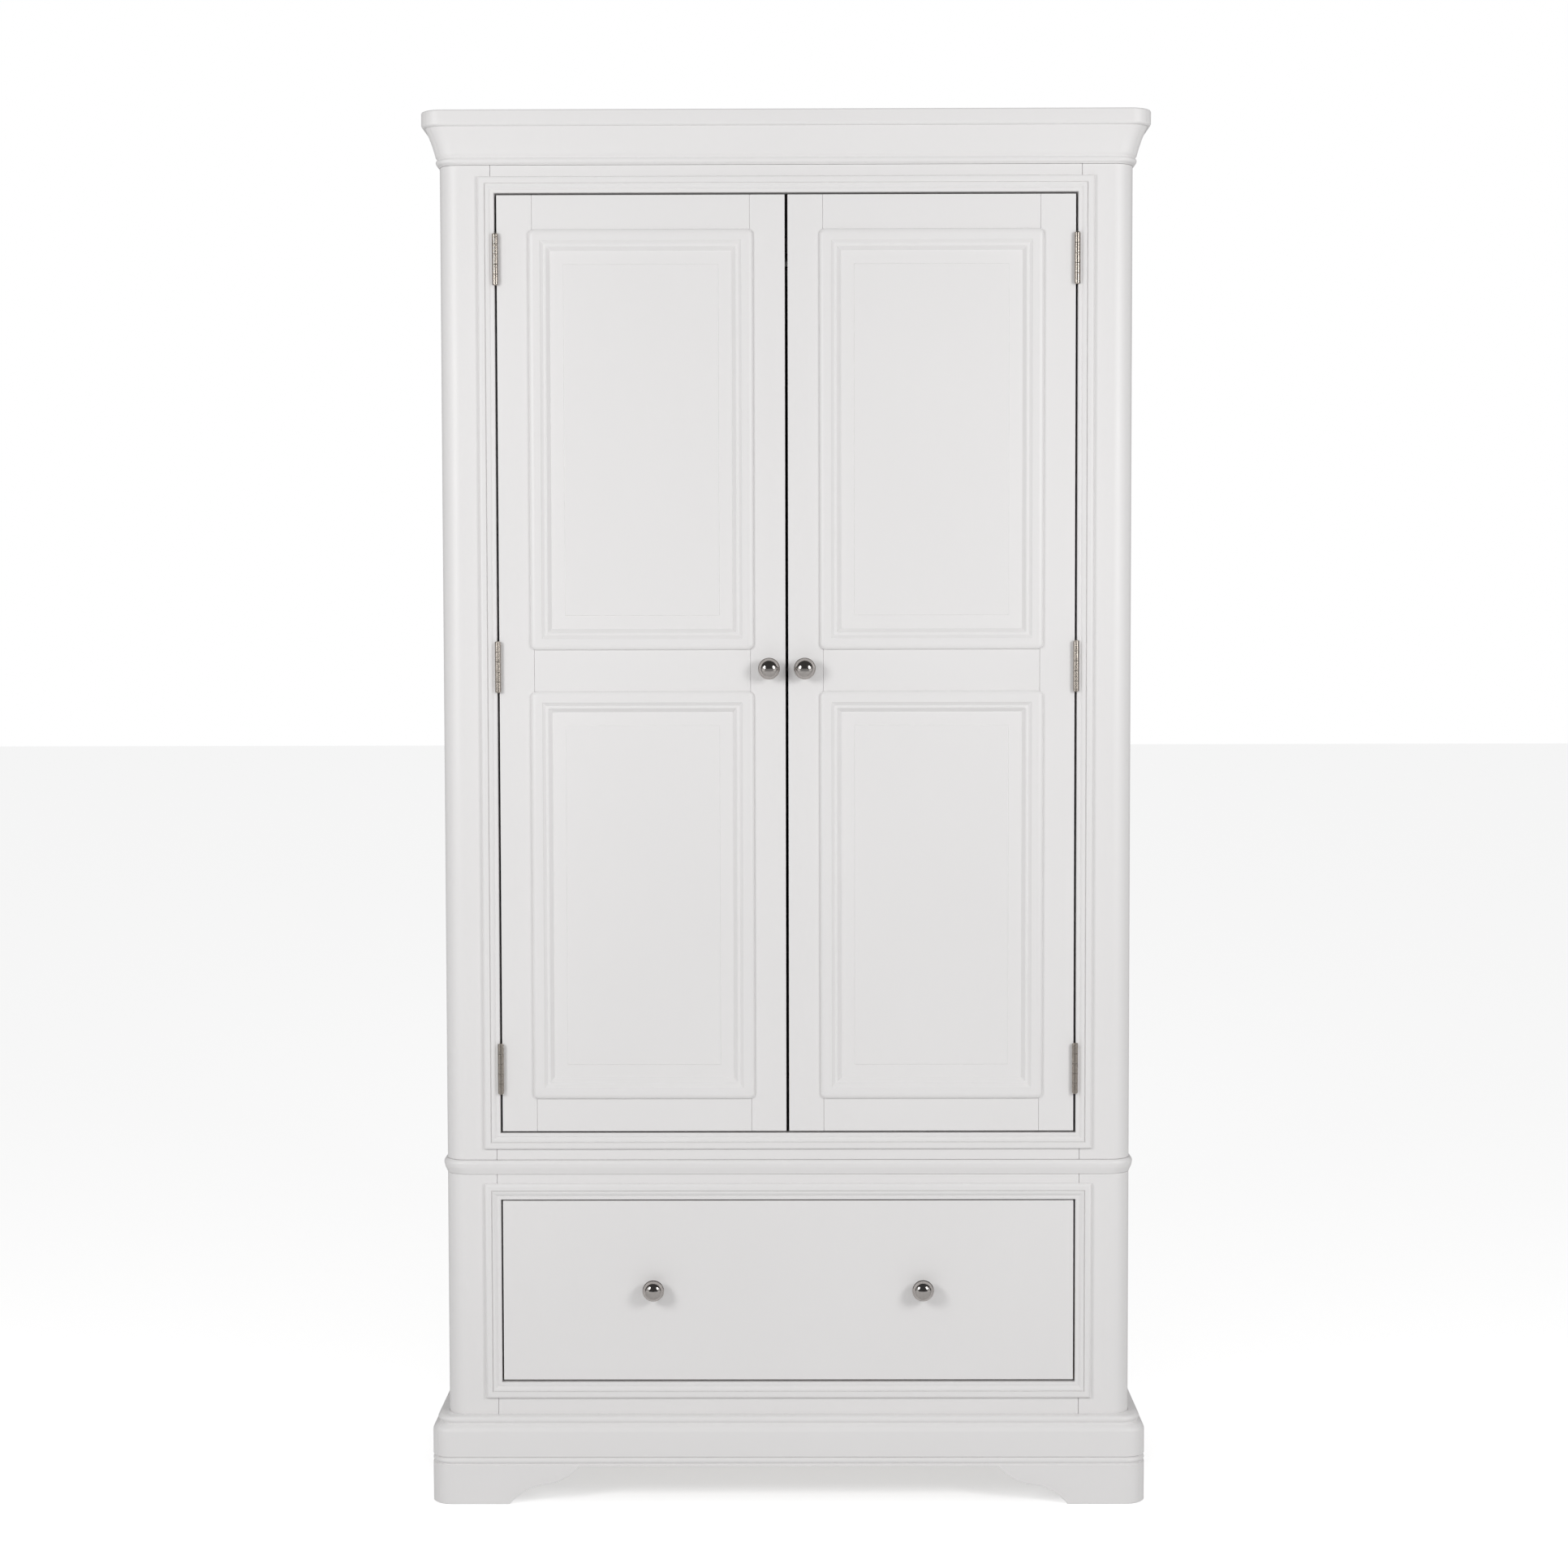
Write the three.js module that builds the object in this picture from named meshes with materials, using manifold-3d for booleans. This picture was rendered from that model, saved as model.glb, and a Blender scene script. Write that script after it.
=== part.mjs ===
// A painted wardrobe in two stacked units: a base with one deep drawer on bracket feet,
// and a hanging unit with two panelled doors under a coved cornice.
// Millimetres, +Z up. The front faces -Y. The origin is on the floor, under the middle.
import * as THREE from 'three';
import { mergeVertices } from 'three/addons/utils/BufferGeometryUtils.js';
import Module from 'manifold-3d';

const wasm = await Module();
wasm.setup();

// ---- Driving dimensions -------------------------------------------------------------

// Overall
const bodyWidth = 972;
const bodyDepth = 558;
const overallHeight = 1960;
const cornerRadius = 29; // rounded front corners of the posts
const gap = 0.3; // between two pieces that touch

// Boards
const railThickness = 22;
const sideThickness = 22;
const shelfThickness = 18;
const backThickness = 8;
const postFace = 73; // width of a post on the front
const postDepth = 50; // and on the side

// Base unit
const plinthHeight = 124;
const plinthOverhang = 21;
const footWidth = 111; // of a bracket foot on the floor
const footArch = 54; // height of the cut-out between the feet
const footShoulder = { run: 53, rise: 28.5 }; // convex half of the foot's ogee
const footOgeeRun = 99.5;
const baseFloorClearance = 70; // the rail and panels behind the plinth stop this high
const baseHeight = 489; // top of the bead board between the units
const beadBoardThickness = 20.5;
const beadOverhang = 5;
const beadRounding = 6;

// Drawer
const drawerOpeningBottom = 170.4;
const drawerOpeningTop = 432.5;
const drawerGapSide = 2.5;
const drawerGapBottom = 3;
const drawerGapTop = 2;
const drawerSideClearance = 4; // between the drawer box and the opening
const drawerBoxRise = 2; // of the box's lower edge above the front's
const drawerBoxFall = 6; // of its upper edge below the front's
const drawerBoxLength = 478;
const drawerBoardThickness = 12;
const drawerBottomThickness = 6;
const drawerBottomRise = 12; // height of the bottom panel above the box's lower edge
const drawerGroove = 5;
const drawerKnobOffset = 191;
const drawerKnobHeight = 305;
const runnerShelf = { thickness: 18, inset: 16 }; // the inset is under the drawer box
const runnerGuide = { width: 16, rise: 30, clearance: 1.5 };

// Doors and their opening
const doorOpeningBottom = 527.6;
const doorTopRailHeight = 38.6; // body left above the door opening
const doorThickness = 22;
const doorGapHinge = 3.2;
const doorGapMiddle = 4;
const doorGapTop = 2.8;
const doorGapBottom = 2.6;
const stileWidth = 49;
const doorRailTop = 52;
const doorRailMiddle = 67;
const doorRailBottom = 51;
const lowerPanelHeight = 568;
const panelGroove = 8;
const panelTongue = { front: 4, back: 10 }; // depths below the door face
const panelField = { front: 1, setback: 7, step: 0.8, bevel: 24 }; // setback from the door's back
const doorKnobInset = 23; // knob centre from the meeting edge
const doorKnobRise = 655; // and above the door's lower edge

// Mouldings
const surroundWidth = 23;
const surroundProud = 6;
const surroundLiningDepth = 18;
const surroundLiningThickness = 5.2;
const panelMouldingWidth = 24;
const panelMouldingProud = 6;
const panelMouldingLap = 4.5; // on to the stile or rail

// Cornice
const corniceFillet = { height: 13, overhang: 5 };
const corniceCove = { height: 37, start: 5.6, end: 19.5, hollow: 1.8 };
const corniceCap = { height: 23, overhang: 22.5 };
const corniceWall = 18; // thickness inside the body line

// Hinges
const hingeLength = 70;
const hingeInset = 92; // centre of an outer hinge from the end of the door opening
const knuckleRadius = 4;
const knuckleCount = 5;
const hingePinRadius = 1.5;
const hingeBoreRadius = 2.2;
const leafThickness = 1.2;
const leafDepth = 18;
const leafClearance = 0.2; // to the door's edge and to the lining
const leafSetback = 0.8; // behind the face, clear of the other leaf's knuckles
const hingeNotch = { radius: 4.7, spare: 0.5 }; // cut in the surround

// Knobs
const knobRadius = 15.3;
const knobProjection = 29;

// Hanging rail
const hangingRailRadius = 12.5;
const hangingRailWall = 2;
const hangingRailDrop = 78; // below the underside of the ceiling board

// Side panelling
const sideRail = 90;
const sideStile = 72;
const sideRecess = 6;

// ---- Sizes that follow ----------------------------------------------------------------

const halfWidth = bodyWidth / 2;
const postInner = halfWidth - postFace;
const lining = surroundLiningThickness + gap;
const openingSide = postInner - lining; // half the clear width of both openings
const innerSide = halfWidth - sideThickness;
const corniceHeight = corniceFillet.height + corniceCove.height + corniceCap.height;
const carcassTop = overallHeight - corniceHeight;
const beadBottom = baseHeight - beadBoardThickness;
const doorOpeningTop = carcassTop - doorTopRailHeight;
const backFace = bodyDepth - backThickness;

const drawerHalf = openingSide - drawerGapSide;
const drawerBottom = drawerOpeningBottom + drawerGapBottom;
const drawerTop = drawerOpeningTop - drawerGapTop;
const drawerBoxHalf = openingSide - drawerSideClearance;
const drawerBoxBottom = drawerBottom + drawerBoxRise;
const drawerBoxTop = drawerTop - drawerBoxFall;
const drawerBoxBack = railThickness + drawerBoxLength;

const doorBottom = doorOpeningBottom + doorGapBottom;
const doorTop = doorOpeningTop - doorGapTop;
const doorOuter = openingSide - doorGapHinge;
const doorInner = doorGapMiddle / 2;
const lowerPanelBottom = doorBottom + doorRailBottom;
const lowerPanel = { bottom: lowerPanelBottom, top: lowerPanelBottom + lowerPanelHeight };
const upperPanel = { bottom: lowerPanel.top + doorRailMiddle, top: doorTop - doorRailTop };
const panelSides = { inner: doorInner + stileWidth, outer: doorOuter - stileWidth };

const hingeX = openingSide - doorGapHinge / 2;
const hingeY = -knuckleRadius;

// The whole wardrobe is pushed back so that the origin is in the middle of its depth.
const frontReach = Math.max(knobProjection, corniceCap.overhang, plinthOverhang);
const frontFaceY = -(bodyDepth - frontReach) / 2;

// ---- Finishes --------------------------------------------------------------------------

const paint = { color: 0xe5e2e0, roughness: 0.45, metalness: 0 };
const innerPaint = { color: 0xded9d2, roughness: 0.6, metalness: 0 };
const drawerWood = { color: 0xd9c6a2, roughness: 0.65, metalness: 0 };
const nickel = { color: 0x9c9691, roughness: 0.22, metalness: 1 };
const railSteel = { color: 0xb4b2b0, roughness: 0.25, metalness: 1 };

// ---- Helpers ---------------------------------------------------------------------------

const wardrobe = new THREE.Group();
wardrobe.name = 'wardrobe';
wardrobe.position.y = frontFaceY;

/** Keeps only positions, with shared corners merged. */
function plain(geometry) {
  geometry.deleteAttribute('normal');
  geometry.deleteAttribute('uv');
  return mergeVertices(geometry, 1e-4);
}

/** A solid that can be joined and cut. */
function solidOf(geometry) {
  const merged = plain(geometry.clone());
  const vertProperties = new Float32Array(merged.attributes.position.array);
  const triVerts = new Uint32Array(merged.index.array);
  return new wasm.Manifold(new wasm.Mesh({ numProp: 3, vertProperties, triVerts }));
}

/** The geometry of a joined or cut solid. */
function geometryOf(solid) {
  const mesh = solid.getMesh();
  const geometry = new THREE.BufferGeometry();
  geometry.setAttribute('position', new THREE.BufferAttribute(mesh.vertProperties, 3));
  geometry.setIndex(new THREE.BufferAttribute(mesh.triVerts, 1));
  return geometry;
}

/** One geometry with others cut out of it. */
function cut(geometry, ...tools) {
  let solid = solidOf(geometry);
  for (const tool of tools) solid = solid.subtract(solidOf(tool));
  return geometryOf(solid);
}

/** Several overlapping geometries as one body. */
function join(...geometries) {
  const [first, ...rest] = geometries.map(solidOf);
  return geometryOf(rest.reduce((whole, next) => whole.add(next), first));
}

/** The same shape on the other side of the wardrobe. */
function mirrored(geometry) {
  const copy = plain(geometry.clone());
  copy.scale(-1, 1, 1);
  const index = copy.index.array;
  for (let i = 0; i < index.length; i += 3) [index[i], index[i + 1]] = [index[i + 1], index[i]];
  return copy;
}

function addPart(name, geometry, finish) {
  const material = new THREE.MeshStandardMaterial({ ...finish, flatShading: true });
  const mesh = new THREE.Mesh(plain(geometry), material);
  mesh.name = name;
  wardrobe.add(mesh);
}

/** A piece made for the right-hand side, and its mirror image on the left. */
function addPair(name, geometry, finish) {
  addPart(`${name}_right`, geometry, finish);
  addPart(`${name}_left`, mirrored(geometry), finish);
}

/** A box between two limits on each axis. */
function box(x0, x1, y0, y1, z0, z1) {
  const geometry = new THREE.BoxGeometry(x1 - x0, y1 - y0, z1 - z0);
  geometry.translate((x0 + x1) / 2, (y0 + y1) / 2, (z0 + z1) / 2);
  return geometry;
}

/** A flat outline in plan, standing between two heights. */
function standing(shape, z0, z1) {
  const depth = z1 - z0;
  const geometry = new THREE.ExtrudeGeometry(shape, { depth, bevelEnabled: false, curveSegments: 8 });
  geometry.translate(0, 0, z0);
  return geometry;
}

/** An upright cylinder. */
function rod(radius, x, y, z0, z1, sides = 16) {
  const geometry = new THREE.CylinderGeometry(radius, radius, z1 - z0, sides);
  geometry.rotateX(Math.PI / 2);
  geometry.translate(x, y, (z0 + z1) / 2);
  return geometry;
}

/** Points on an arc, as [x, y] pairs. */
function arc(x, y, radius, from, to, steps) {
  return Array.from({ length: steps + 1 }, (_, i) => {
    const angle = THREE.MathUtils.degToRad(from + ((to - from) * i) / steps);
    return [x + radius * Math.cos(angle), y + radius * Math.sin(angle)];
  });
}

/**
 * A rectangular frame with mitred corners, lying in the front plane.
 * The profile's points are [distance out from the clear opening, distance in front of the face].
 * A four-sided lathe makes the four mitres, and its corners are then moved apart.
 */
function mitredFrame(profile, x0, x1, z0, z1) {
  const start = 10;
  const closed = [...profile, profile[0]].reverse();
  const points = closed.map(([out, proud]) => new THREE.Vector2((start + out) * Math.SQRT2, proud));
  const geometry = new THREE.LatheGeometry(points, 4, Math.PI / 4);
  geometry.rotateX(Math.PI);
  const position = geometry.attributes.position;
  const shift = new THREE.Vector2((x1 - x0) / 2 - start, (z1 - z0) / 2 - start);
  for (let i = 0; i < position.count; i++) {
    position.setX(i, position.getX(i) + Math.sign(position.getX(i)) * shift.x + (x0 + x1) / 2);
    position.setZ(i, position.getZ(i) + Math.sign(position.getZ(i)) * shift.y + (z0 + z1) / 2);
  }
  return geometry;
}

/** The line that a wrapped moulding follows, given by its stations. */
class StationPath extends THREE.Curve {
  constructor(stations) {
    super();
    this.stations = stations;
  }
  station(u) {
    return this.stations[Math.round(u * (this.stations.length - 1))];
  }
  getPointAt(u) {
    const { x, y } = this.station(u);
    return new THREE.Vector3(x, y, 0);
  }
  getTangentAt(u) {
    const { heading } = this.station(u);
    return new THREE.Vector3(Math.cos(heading), Math.sin(heading), 0);
  }
}

/** Stations round one rounded front corner, between two headings in degrees. */
function cornerStations(side, from, to, steps = 4) {
  const centreX = side * (halfWidth - cornerRadius);
  return Array.from({ length: steps + 1 }, (_, i) => {
    const heading = THREE.MathUtils.degToRad(from + ((to - from) * i) / steps);
    const x = centreX + cornerRadius * Math.sin(heading);
    return { x, y: cornerRadius * (1 - Math.cos(heading)), heading };
  });
}

const frontStations = [...cornerStations(-1, -45, 0), ...cornerStations(1, 0, 45)];
const sideStations = [...cornerStations(1, 45, 90), { x: halfWidth, y: bodyDepth, heading: Math.PI / 2 }];

/** Gives every overhang the body's own corner radius, so a moulding's corners are as tight as the posts'. */
function tightened(geometry) {
  const position = geometry.getAttribute('position');
  const centre = halfWidth - cornerRadius;
  for (let i = 0; i < position.count; i += 1) {
    const side = Math.sign(position.getX(i));
    const across = Math.abs(position.getX(i)) - centre;
    const ahead = cornerRadius - position.getY(i);
    if (across > -0.01 && ahead > -0.01) {
      const distance = Math.hypot(across, ahead);
      const overhang = distance - cornerRadius;
      position.setX(i, side * (centre + overhang + (cornerRadius * across) / distance));
      position.setY(i, cornerRadius - overhang - (cornerRadius * ahead) / distance);
    }
  }
  return geometry;
}

/** A moulding that follows the body's outline. Its profile's points are [overhang, height]. */
function wrapped(profile, stations) {
  const shape = new THREE.Shape(profile.map(([overhang, height]) => new THREE.Vector2(-height, -overhang)));
  const extrudePath = new StationPath(stations);
  return tightened(new THREE.ExtrudeGeometry(shape, { steps: stations.length - 1, extrudePath }));
}

/** A thin slab on the mitre line of the right front corner, which parts two wrapped pieces there. */
function mitreSlab(z0, z1) {
  const reach = 200;
  const geometry = box(-reach, reach, -gap / 2, gap / 2, z0 - 1, z1 + 1);
  geometry.rotateZ(-Math.PI / 4);
  geometry.translate(halfWidth - cornerRadius, cornerRadius, 0);
  return geometry;
}

/** A body outline in plan with rounded front corners, grown by an overhang at the front and sides. */
function bodyOutline(overhang, back) {
  const half = halfWidth + overhang;
  const radius = cornerRadius + overhang;
  const shape = new THREE.Shape();
  shape.moveTo(half, back);
  shape.lineTo(-half, back);
  shape.absarc(-half + radius, cornerRadius, radius, Math.PI, 1.5 * Math.PI, false);
  shape.absarc(half - radius, cornerRadius, radius, 1.5 * Math.PI, 2 * Math.PI, false);
  return shape;
}

// ---- Plinth ----------------------------------------------------------------------------

/** Section of the plinth board: a flush bead above the feet and a rounded top bead. */
function plinthProfile() {
  const face = plinthOverhang;
  const topBead = 5;
  const crownStart = plinthHeight - 21.5;
  const tuck = 6.5;
  const beadCentre = 62;
  const beadHalf = 6;
  return [
    [gap, 0],
    [face, 0],
    [face, beadCentre - beadHalf],
    [face - 1.6, beadCentre - beadHalf + 1],
    ...arc(face - 3.4, beadCentre, 3.6, -55, 55, 4),
    [face - 1.6, beadCentre + beadHalf - 1],
    [face, beadCentre + beadHalf],
    [face, crownStart],
    [face - 1.4, crownStart + 4.5],
    [face - 4, crownStart + 8],
    [face - tuck, crownStart + 9.8],
    [face - tuck - 1.6, crownStart + 10.6],
    ...arc(face - tuck - topBead, plinthHeight - topBead, topBead, -50, 90, 6),
    [gap, plinthHeight],
  ];
}

/** The opening between two bracket feet, each ending in an ogee: convex to a shoulder, then concave. */
function footArchShape(halfSpan) {
  const { run, rise } = footShoulder;
  const shoulder = halfSpan - run;
  const crown = halfSpan - footOgeeRun;
  const hollowX = (shoulder + crown) / 2;
  const shape = new THREE.Shape();
  shape.moveTo(-halfSpan, -5);
  shape.lineTo(-halfSpan, 0);
  shape.quadraticCurveTo(-halfSpan + 0.42 * run, 0.92 * rise, -shoulder, rise);
  shape.quadraticCurveTo(-hollowX, rise + 2, -crown, footArch);
  shape.lineTo(crown, footArch);
  shape.quadraticCurveTo(hollowX, rise + 2, shoulder, rise);
  shape.quadraticCurveTo(halfSpan - 0.42 * run, 0.92 * rise, halfSpan, 0);
  shape.lineTo(halfSpan, -5);
  return shape;
}

function buildPlinth() {
  const through = 2 * plinthOverhang + 2 * cornerRadius;
  const arch = (halfSpan) => {
    const geometry = new THREE.ExtrudeGeometry(footArchShape(halfSpan), {
      depth: through, bevelEnabled: false, curveSegments: 8,
    });
    geometry.rotateX(Math.PI / 2);
    geometry.translate(0, through / 2, 0);
    return geometry;
  };
  const frontArch = arch(halfWidth + plinthOverhang - footWidth);
  const sideArch = arch((bodyDepth + plinthOverhang) / 2 - footWidth);
  sideArch.rotateZ(Math.PI / 2);
  sideArch.translate(halfWidth, (bodyDepth - plinthOverhang) / 2, 0);
  const mitre = mitreSlab(0, plinthHeight);
  const front = wrapped(plinthProfile(), frontStations);
  addPart('plinth_front', cut(front, frontArch, mitre, mirrored(mitre)), paint);
  addPair('plinth_side', cut(wrapped(plinthProfile(), sideStations), sideArch, mitre), paint);
}

// ---- Carcass ---------------------------------------------------------------------------

/** A front post in plan, with its outer corner rounded. */
function postShape() {
  const shape = new THREE.Shape();
  shape.moveTo(postInner, postDepth);
  shape.lineTo(postInner, 0);
  shape.lineTo(halfWidth - cornerRadius, 0);
  shape.absarc(halfWidth - cornerRadius, cornerRadius, cornerRadius, -0.5 * Math.PI, 0, false);
  shape.lineTo(halfWidth, postDepth);
  return shape;
}

/** A side board with a sunk panel for each pair of heights, and legs at its back edge. */
function sideBoard(z0, z1, panels, legHeight) {
  const y0 = postDepth + gap;
  const sunk = panels.map(([low, high]) => box(
    halfWidth - sideRecess, halfWidth + 1, postDepth + sideStile / 3, bodyDepth - sideStile, low, high,
  ));
  const legs = box(innerSide - 1, halfWidth + 1, y0 - 1, bodyDepth - sideStile, z0 - 1, z0 + legHeight);
  const board = box(innerSide, halfWidth, y0, bodyDepth, z0, z1);
  return legHeight > 0 ? cut(board, legs, ...sunk) : cut(board, ...sunk);
}

function frontRail(z0, z1) {
  return box(-postInner + gap, postInner - gap, 0, railThickness, z0, z1);
}

/** A board that fills the carcass from the rail to the back panel and is notched round the posts. */
function innerBoard(z0, z1) {
  const half = innerSide - gap;
  const notch = box(postInner - gap, halfWidth, 0, postDepth + gap, z0 - 1, z1 + 1);
  return cut(box(-half, half, railThickness + gap, backFace - gap, z0, z1), notch, mirrored(notch));
}

/** An L-shaped runner with a guide beside the drawer. */
function drawerRunner() {
  const top = drawerBoxBottom - gap;
  const low = top - runnerShelf.thickness;
  const inner = drawerBoxHalf - runnerShelf.inset;
  const guideInner = drawerBoxHalf + runnerGuide.clearance;
  const outline = [
    [inner, low],
    [innerSide - gap, low],
    [innerSide - gap, top],
    [guideInner + runnerGuide.width, top],
    [guideInner + runnerGuide.width, top + runnerGuide.rise],
    [guideInner, top + runnerGuide.rise],
    [guideInner, top],
    [inner, top],
  ];
  const shape = new THREE.Shape(outline.map(([x, z]) => new THREE.Vector2(x, z)));
  const y0 = postDepth + gap;
  const y1 = backFace - gap;
  const geometry = new THREE.ExtrudeGeometry(shape, { depth: y1 - y0, bevelEnabled: false });
  geometry.rotateX(Math.PI / 2);
  geometry.translate(0, y1, 0);
  return geometry;
}

/** The board between the units, with rounded front and side edges. */
function beadBoard() {
  const spare = 20;
  const flat = beadBoardThickness - gap - 2 * beadRounding;
  const geometry = new THREE.ExtrudeGeometry(bodyOutline(beadOverhang - beadRounding, bodyDepth + spare), {
    depth: flat, bevelThickness: beadRounding, bevelSize: beadRounding, bevelSegments: 4, curveSegments: 6,
  });
  geometry.translate(0, 0, beadBottom + gap + beadRounding);
  return cut(geometry, box(-bodyWidth, bodyWidth, bodyDepth, bodyDepth + 3 * spare, 0, baseHeight + 1));
}

function buildBase() {
  addPair('base_post_front', standing(postShape(), 0, beadBottom), paint);
  const panels = [[plinthHeight + sideRail / 2, beadBottom - sideRail / 2]];
  addPair('base_side', sideBoard(0, beadBottom, panels, baseFloorClearance), paint);
  addPart('base_rail_bottom', frontRail(baseFloorClearance, drawerOpeningBottom - lining), paint);
  addPart('base_rail_top', frontRail(drawerOpeningTop + lining, beadBottom), paint);
  const half = innerSide - gap;
  const back = box(-half, half, backFace, bodyDepth, baseFloorClearance, beadBottom);
  addPart('base_back_panel', back, innerPaint);
  addPart('base_bead_board', beadBoard(), paint);
  addPair('drawer_runner', drawerRunner(), drawerWood);
}

function buildUpperUnit() {
  const bottom = baseHeight + gap;
  const railTop = doorOpeningBottom - lining;
  addPair('upper_post_front', standing(postShape(), bottom, carcassTop), paint);
  const split = lowerPanel.top + doorRailMiddle / 2;
  const panels = [[bottom + sideRail, split - sideRail / 2], [split + sideRail / 2, carcassTop - sideRail]];
  addPair('upper_side', sideBoard(bottom, carcassTop, panels, 0), paint);
  addPart('upper_rail_bottom', frontRail(bottom, railTop), paint);
  addPart('upper_rail_top', frontRail(doorOpeningTop + lining, carcassTop), paint);
  addPart('upper_floor_board', innerBoard(railTop - shelfThickness, railTop), innerPaint);
  addPart('upper_ceiling_board', innerBoard(carcassTop - shelfThickness, carcassTop), innerPaint);
  const half = innerSide - gap;
  addPart('upper_back_panel', box(-half, half, backFace, bodyDepth, bottom, carcassTop), innerPaint);
}

function buildHangingRail() {
  const half = innerSide - gap;
  const inner = hangingRailRadius - hangingRailWall;
  const outer = hangingRailRadius;
  const section = [[inner, -half], [outer, -half], [outer, half], [inner, half], [inner, -half]];
  const geometry = new THREE.LatheGeometry(section.map(([r, h]) => new THREE.Vector2(r, h)), 24);
  geometry.rotateZ(Math.PI / 2);
  geometry.translate(0, bodyDepth / 2, carcassTop - shelfThickness - hangingRailDrop);
  addPart('hanging_rail', geometry, railSteel);
}

// ---- Mouldings round the openings ---------------------------------------------------------

/** Section of the moulding round an opening: a bead, a hollow, a flat and a falling cove. */
function surroundProfile() {
  const width = surroundWidth;
  const high = surroundProud;
  return [
    [0, -surroundLiningDepth],
    ...arc(2.4, high - 2.4, 2.4, 180, 20, 5),
    [6, high - 2],
    [7, high - 0.6],
    [14, high - 0.6],
    [15, high - 1.4],
    [width - 3, high - 2.6],
    [width, high - 2.8],
    [width, gap],
    [surroundLiningThickness, gap],
    [surroundLiningThickness, -surroundLiningDepth],
  ];
}

/** Lower and upper ends of the bottom, middle and top hinges. */
function hingeSpans() {
  const middle = (doorOpeningBottom + doorOpeningTop) / 2;
  const centres = [doorOpeningBottom + hingeInset, middle, doorOpeningTop - hingeInset];
  return centres.map((centre) => [centre - hingeLength / 2, centre + hingeLength / 2]);
}

function buildSurrounds() {
  const surround = (z0, z1) => mitredFrame(surroundProfile(), -openingSide, openingSide, z0, z1);
  const door = surround(doorOpeningBottom, doorOpeningTop);
  const notches = hingeSpans().map(([z0, z1]) => rod(
    hingeNotch.radius, hingeX, hingeY, z0 - hingeNotch.spare, z1 + hingeNotch.spare,
  ));
  addPart('door_surround', cut(door, ...notches, ...notches.map(mirrored)), paint);
  addPart('drawer_surround', surround(drawerOpeningBottom, drawerOpeningTop), paint);
}

// ---- Cornice -----------------------------------------------------------------------------

function corniceProfile() {
  const bottom = carcassTop + gap;
  const coveBottom = carcassTop + corniceFillet.height;
  const coveTop = coveBottom + corniceCove.height;
  const cove = Array.from({ length: 5 }, (_, i) => {
    const t = i / 4;
    const straight = corniceCove.start + (corniceCove.end - corniceCove.start) * t;
    return [straight - corniceCove.hollow * 4 * t * (1 - t), coveBottom + corniceCove.height * t];
  });
  return [
    [-corniceWall, bottom],
    [corniceFillet.overhang - 1, bottom],
    [corniceFillet.overhang, bottom + 1],
    [corniceFillet.overhang, coveBottom - 1.5],
    ...cove,
    [corniceCap.overhang - 1.2, coveTop],
    [corniceCap.overhang, coveTop + 1.2],
    [corniceCap.overhang, overallHeight - 1.5],
    [corniceCap.overhang - 1.5, overallHeight],
    [-corniceWall, overallHeight],
  ];
}

function buildCornice() {
  const mitre = mitreSlab(carcassTop, overallHeight);
  addPart('cornice_front', cut(wrapped(corniceProfile(), frontStations), mitre, mirrored(mitre)), paint);
  addPair('cornice_side', cut(wrapped(corniceProfile(), sideStations), mitre), paint);
  const half = halfWidth - corniceWall - gap;
  const back = bodyDepth - shelfThickness;
  addPart('cornice_back', box(-half, half, back, bodyDepth, carcassTop + gap, overallHeight), paint);
}

// ---- Doors ---------------------------------------------------------------------------------

/** Section of a panel moulding: a rounded outer edge, a flat with a quirk, and a step to the panel. */
function panelMouldingProfile() {
  const width = panelMouldingWidth;
  const high = panelMouldingProud;
  const foot = gap - panelTongue.front;
  const lap = width - panelMouldingLap;
  return [
    [0, foot],
    [0, 0.5],
    [2.5, high - 2],
    [4, high - 1],
    [10, high - 0.6],
    [11.5, high - 1.6],
    [13, high],
    ...arc(width - 4, high - 4, 4, 90, 0, 4),
    [width, gap],
    [lap - gap, gap],
    [lap - gap, foot],
  ];
}

/** A raised panel between its limits, seen from the front: tongue, bevel, small step and field. */
function raisedPanel(x0, x1, z0, z1) {
  const reach = panelGroove - gap;
  const tongue = box(x0 - reach, x1 + reach, panelTongue.front, panelTongue.back, z0 - reach, z1 + reach);
  const bevelStart = panelMouldingWidth - panelMouldingLap;
  const bevelEnd = bevelStart + panelField.bevel;
  const rise = panelTongue.front - panelField.front - panelField.step;
  const profile = [
    [0, -panelTongue.front - 1],
    [0, -panelTongue.front + rise],
    [panelField.bevel, -panelTongue.front],
    [panelField.bevel, -panelTongue.front - 1],
  ];
  const ring = mitredFrame(profile, x0 + bevelEnd, x1 - bevelEnd, z0 + bevelEnd, z1 - bevelEnd);
  const field = box(x0 + bevelEnd - 0.01, x1 - bevelEnd + 0.01, panelField.front, panelTongue.front + 1,
    z0 + bevelEnd - 0.01, z1 - bevelEnd + 0.01);
  const backY = doorThickness - panelField.setback;
  const back = box(x0 + gap, x1 - gap, panelTongue.front + 1, backY, z0 + gap, z1 - gap);
  return join(tongue, ring, field, back);
}

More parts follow.
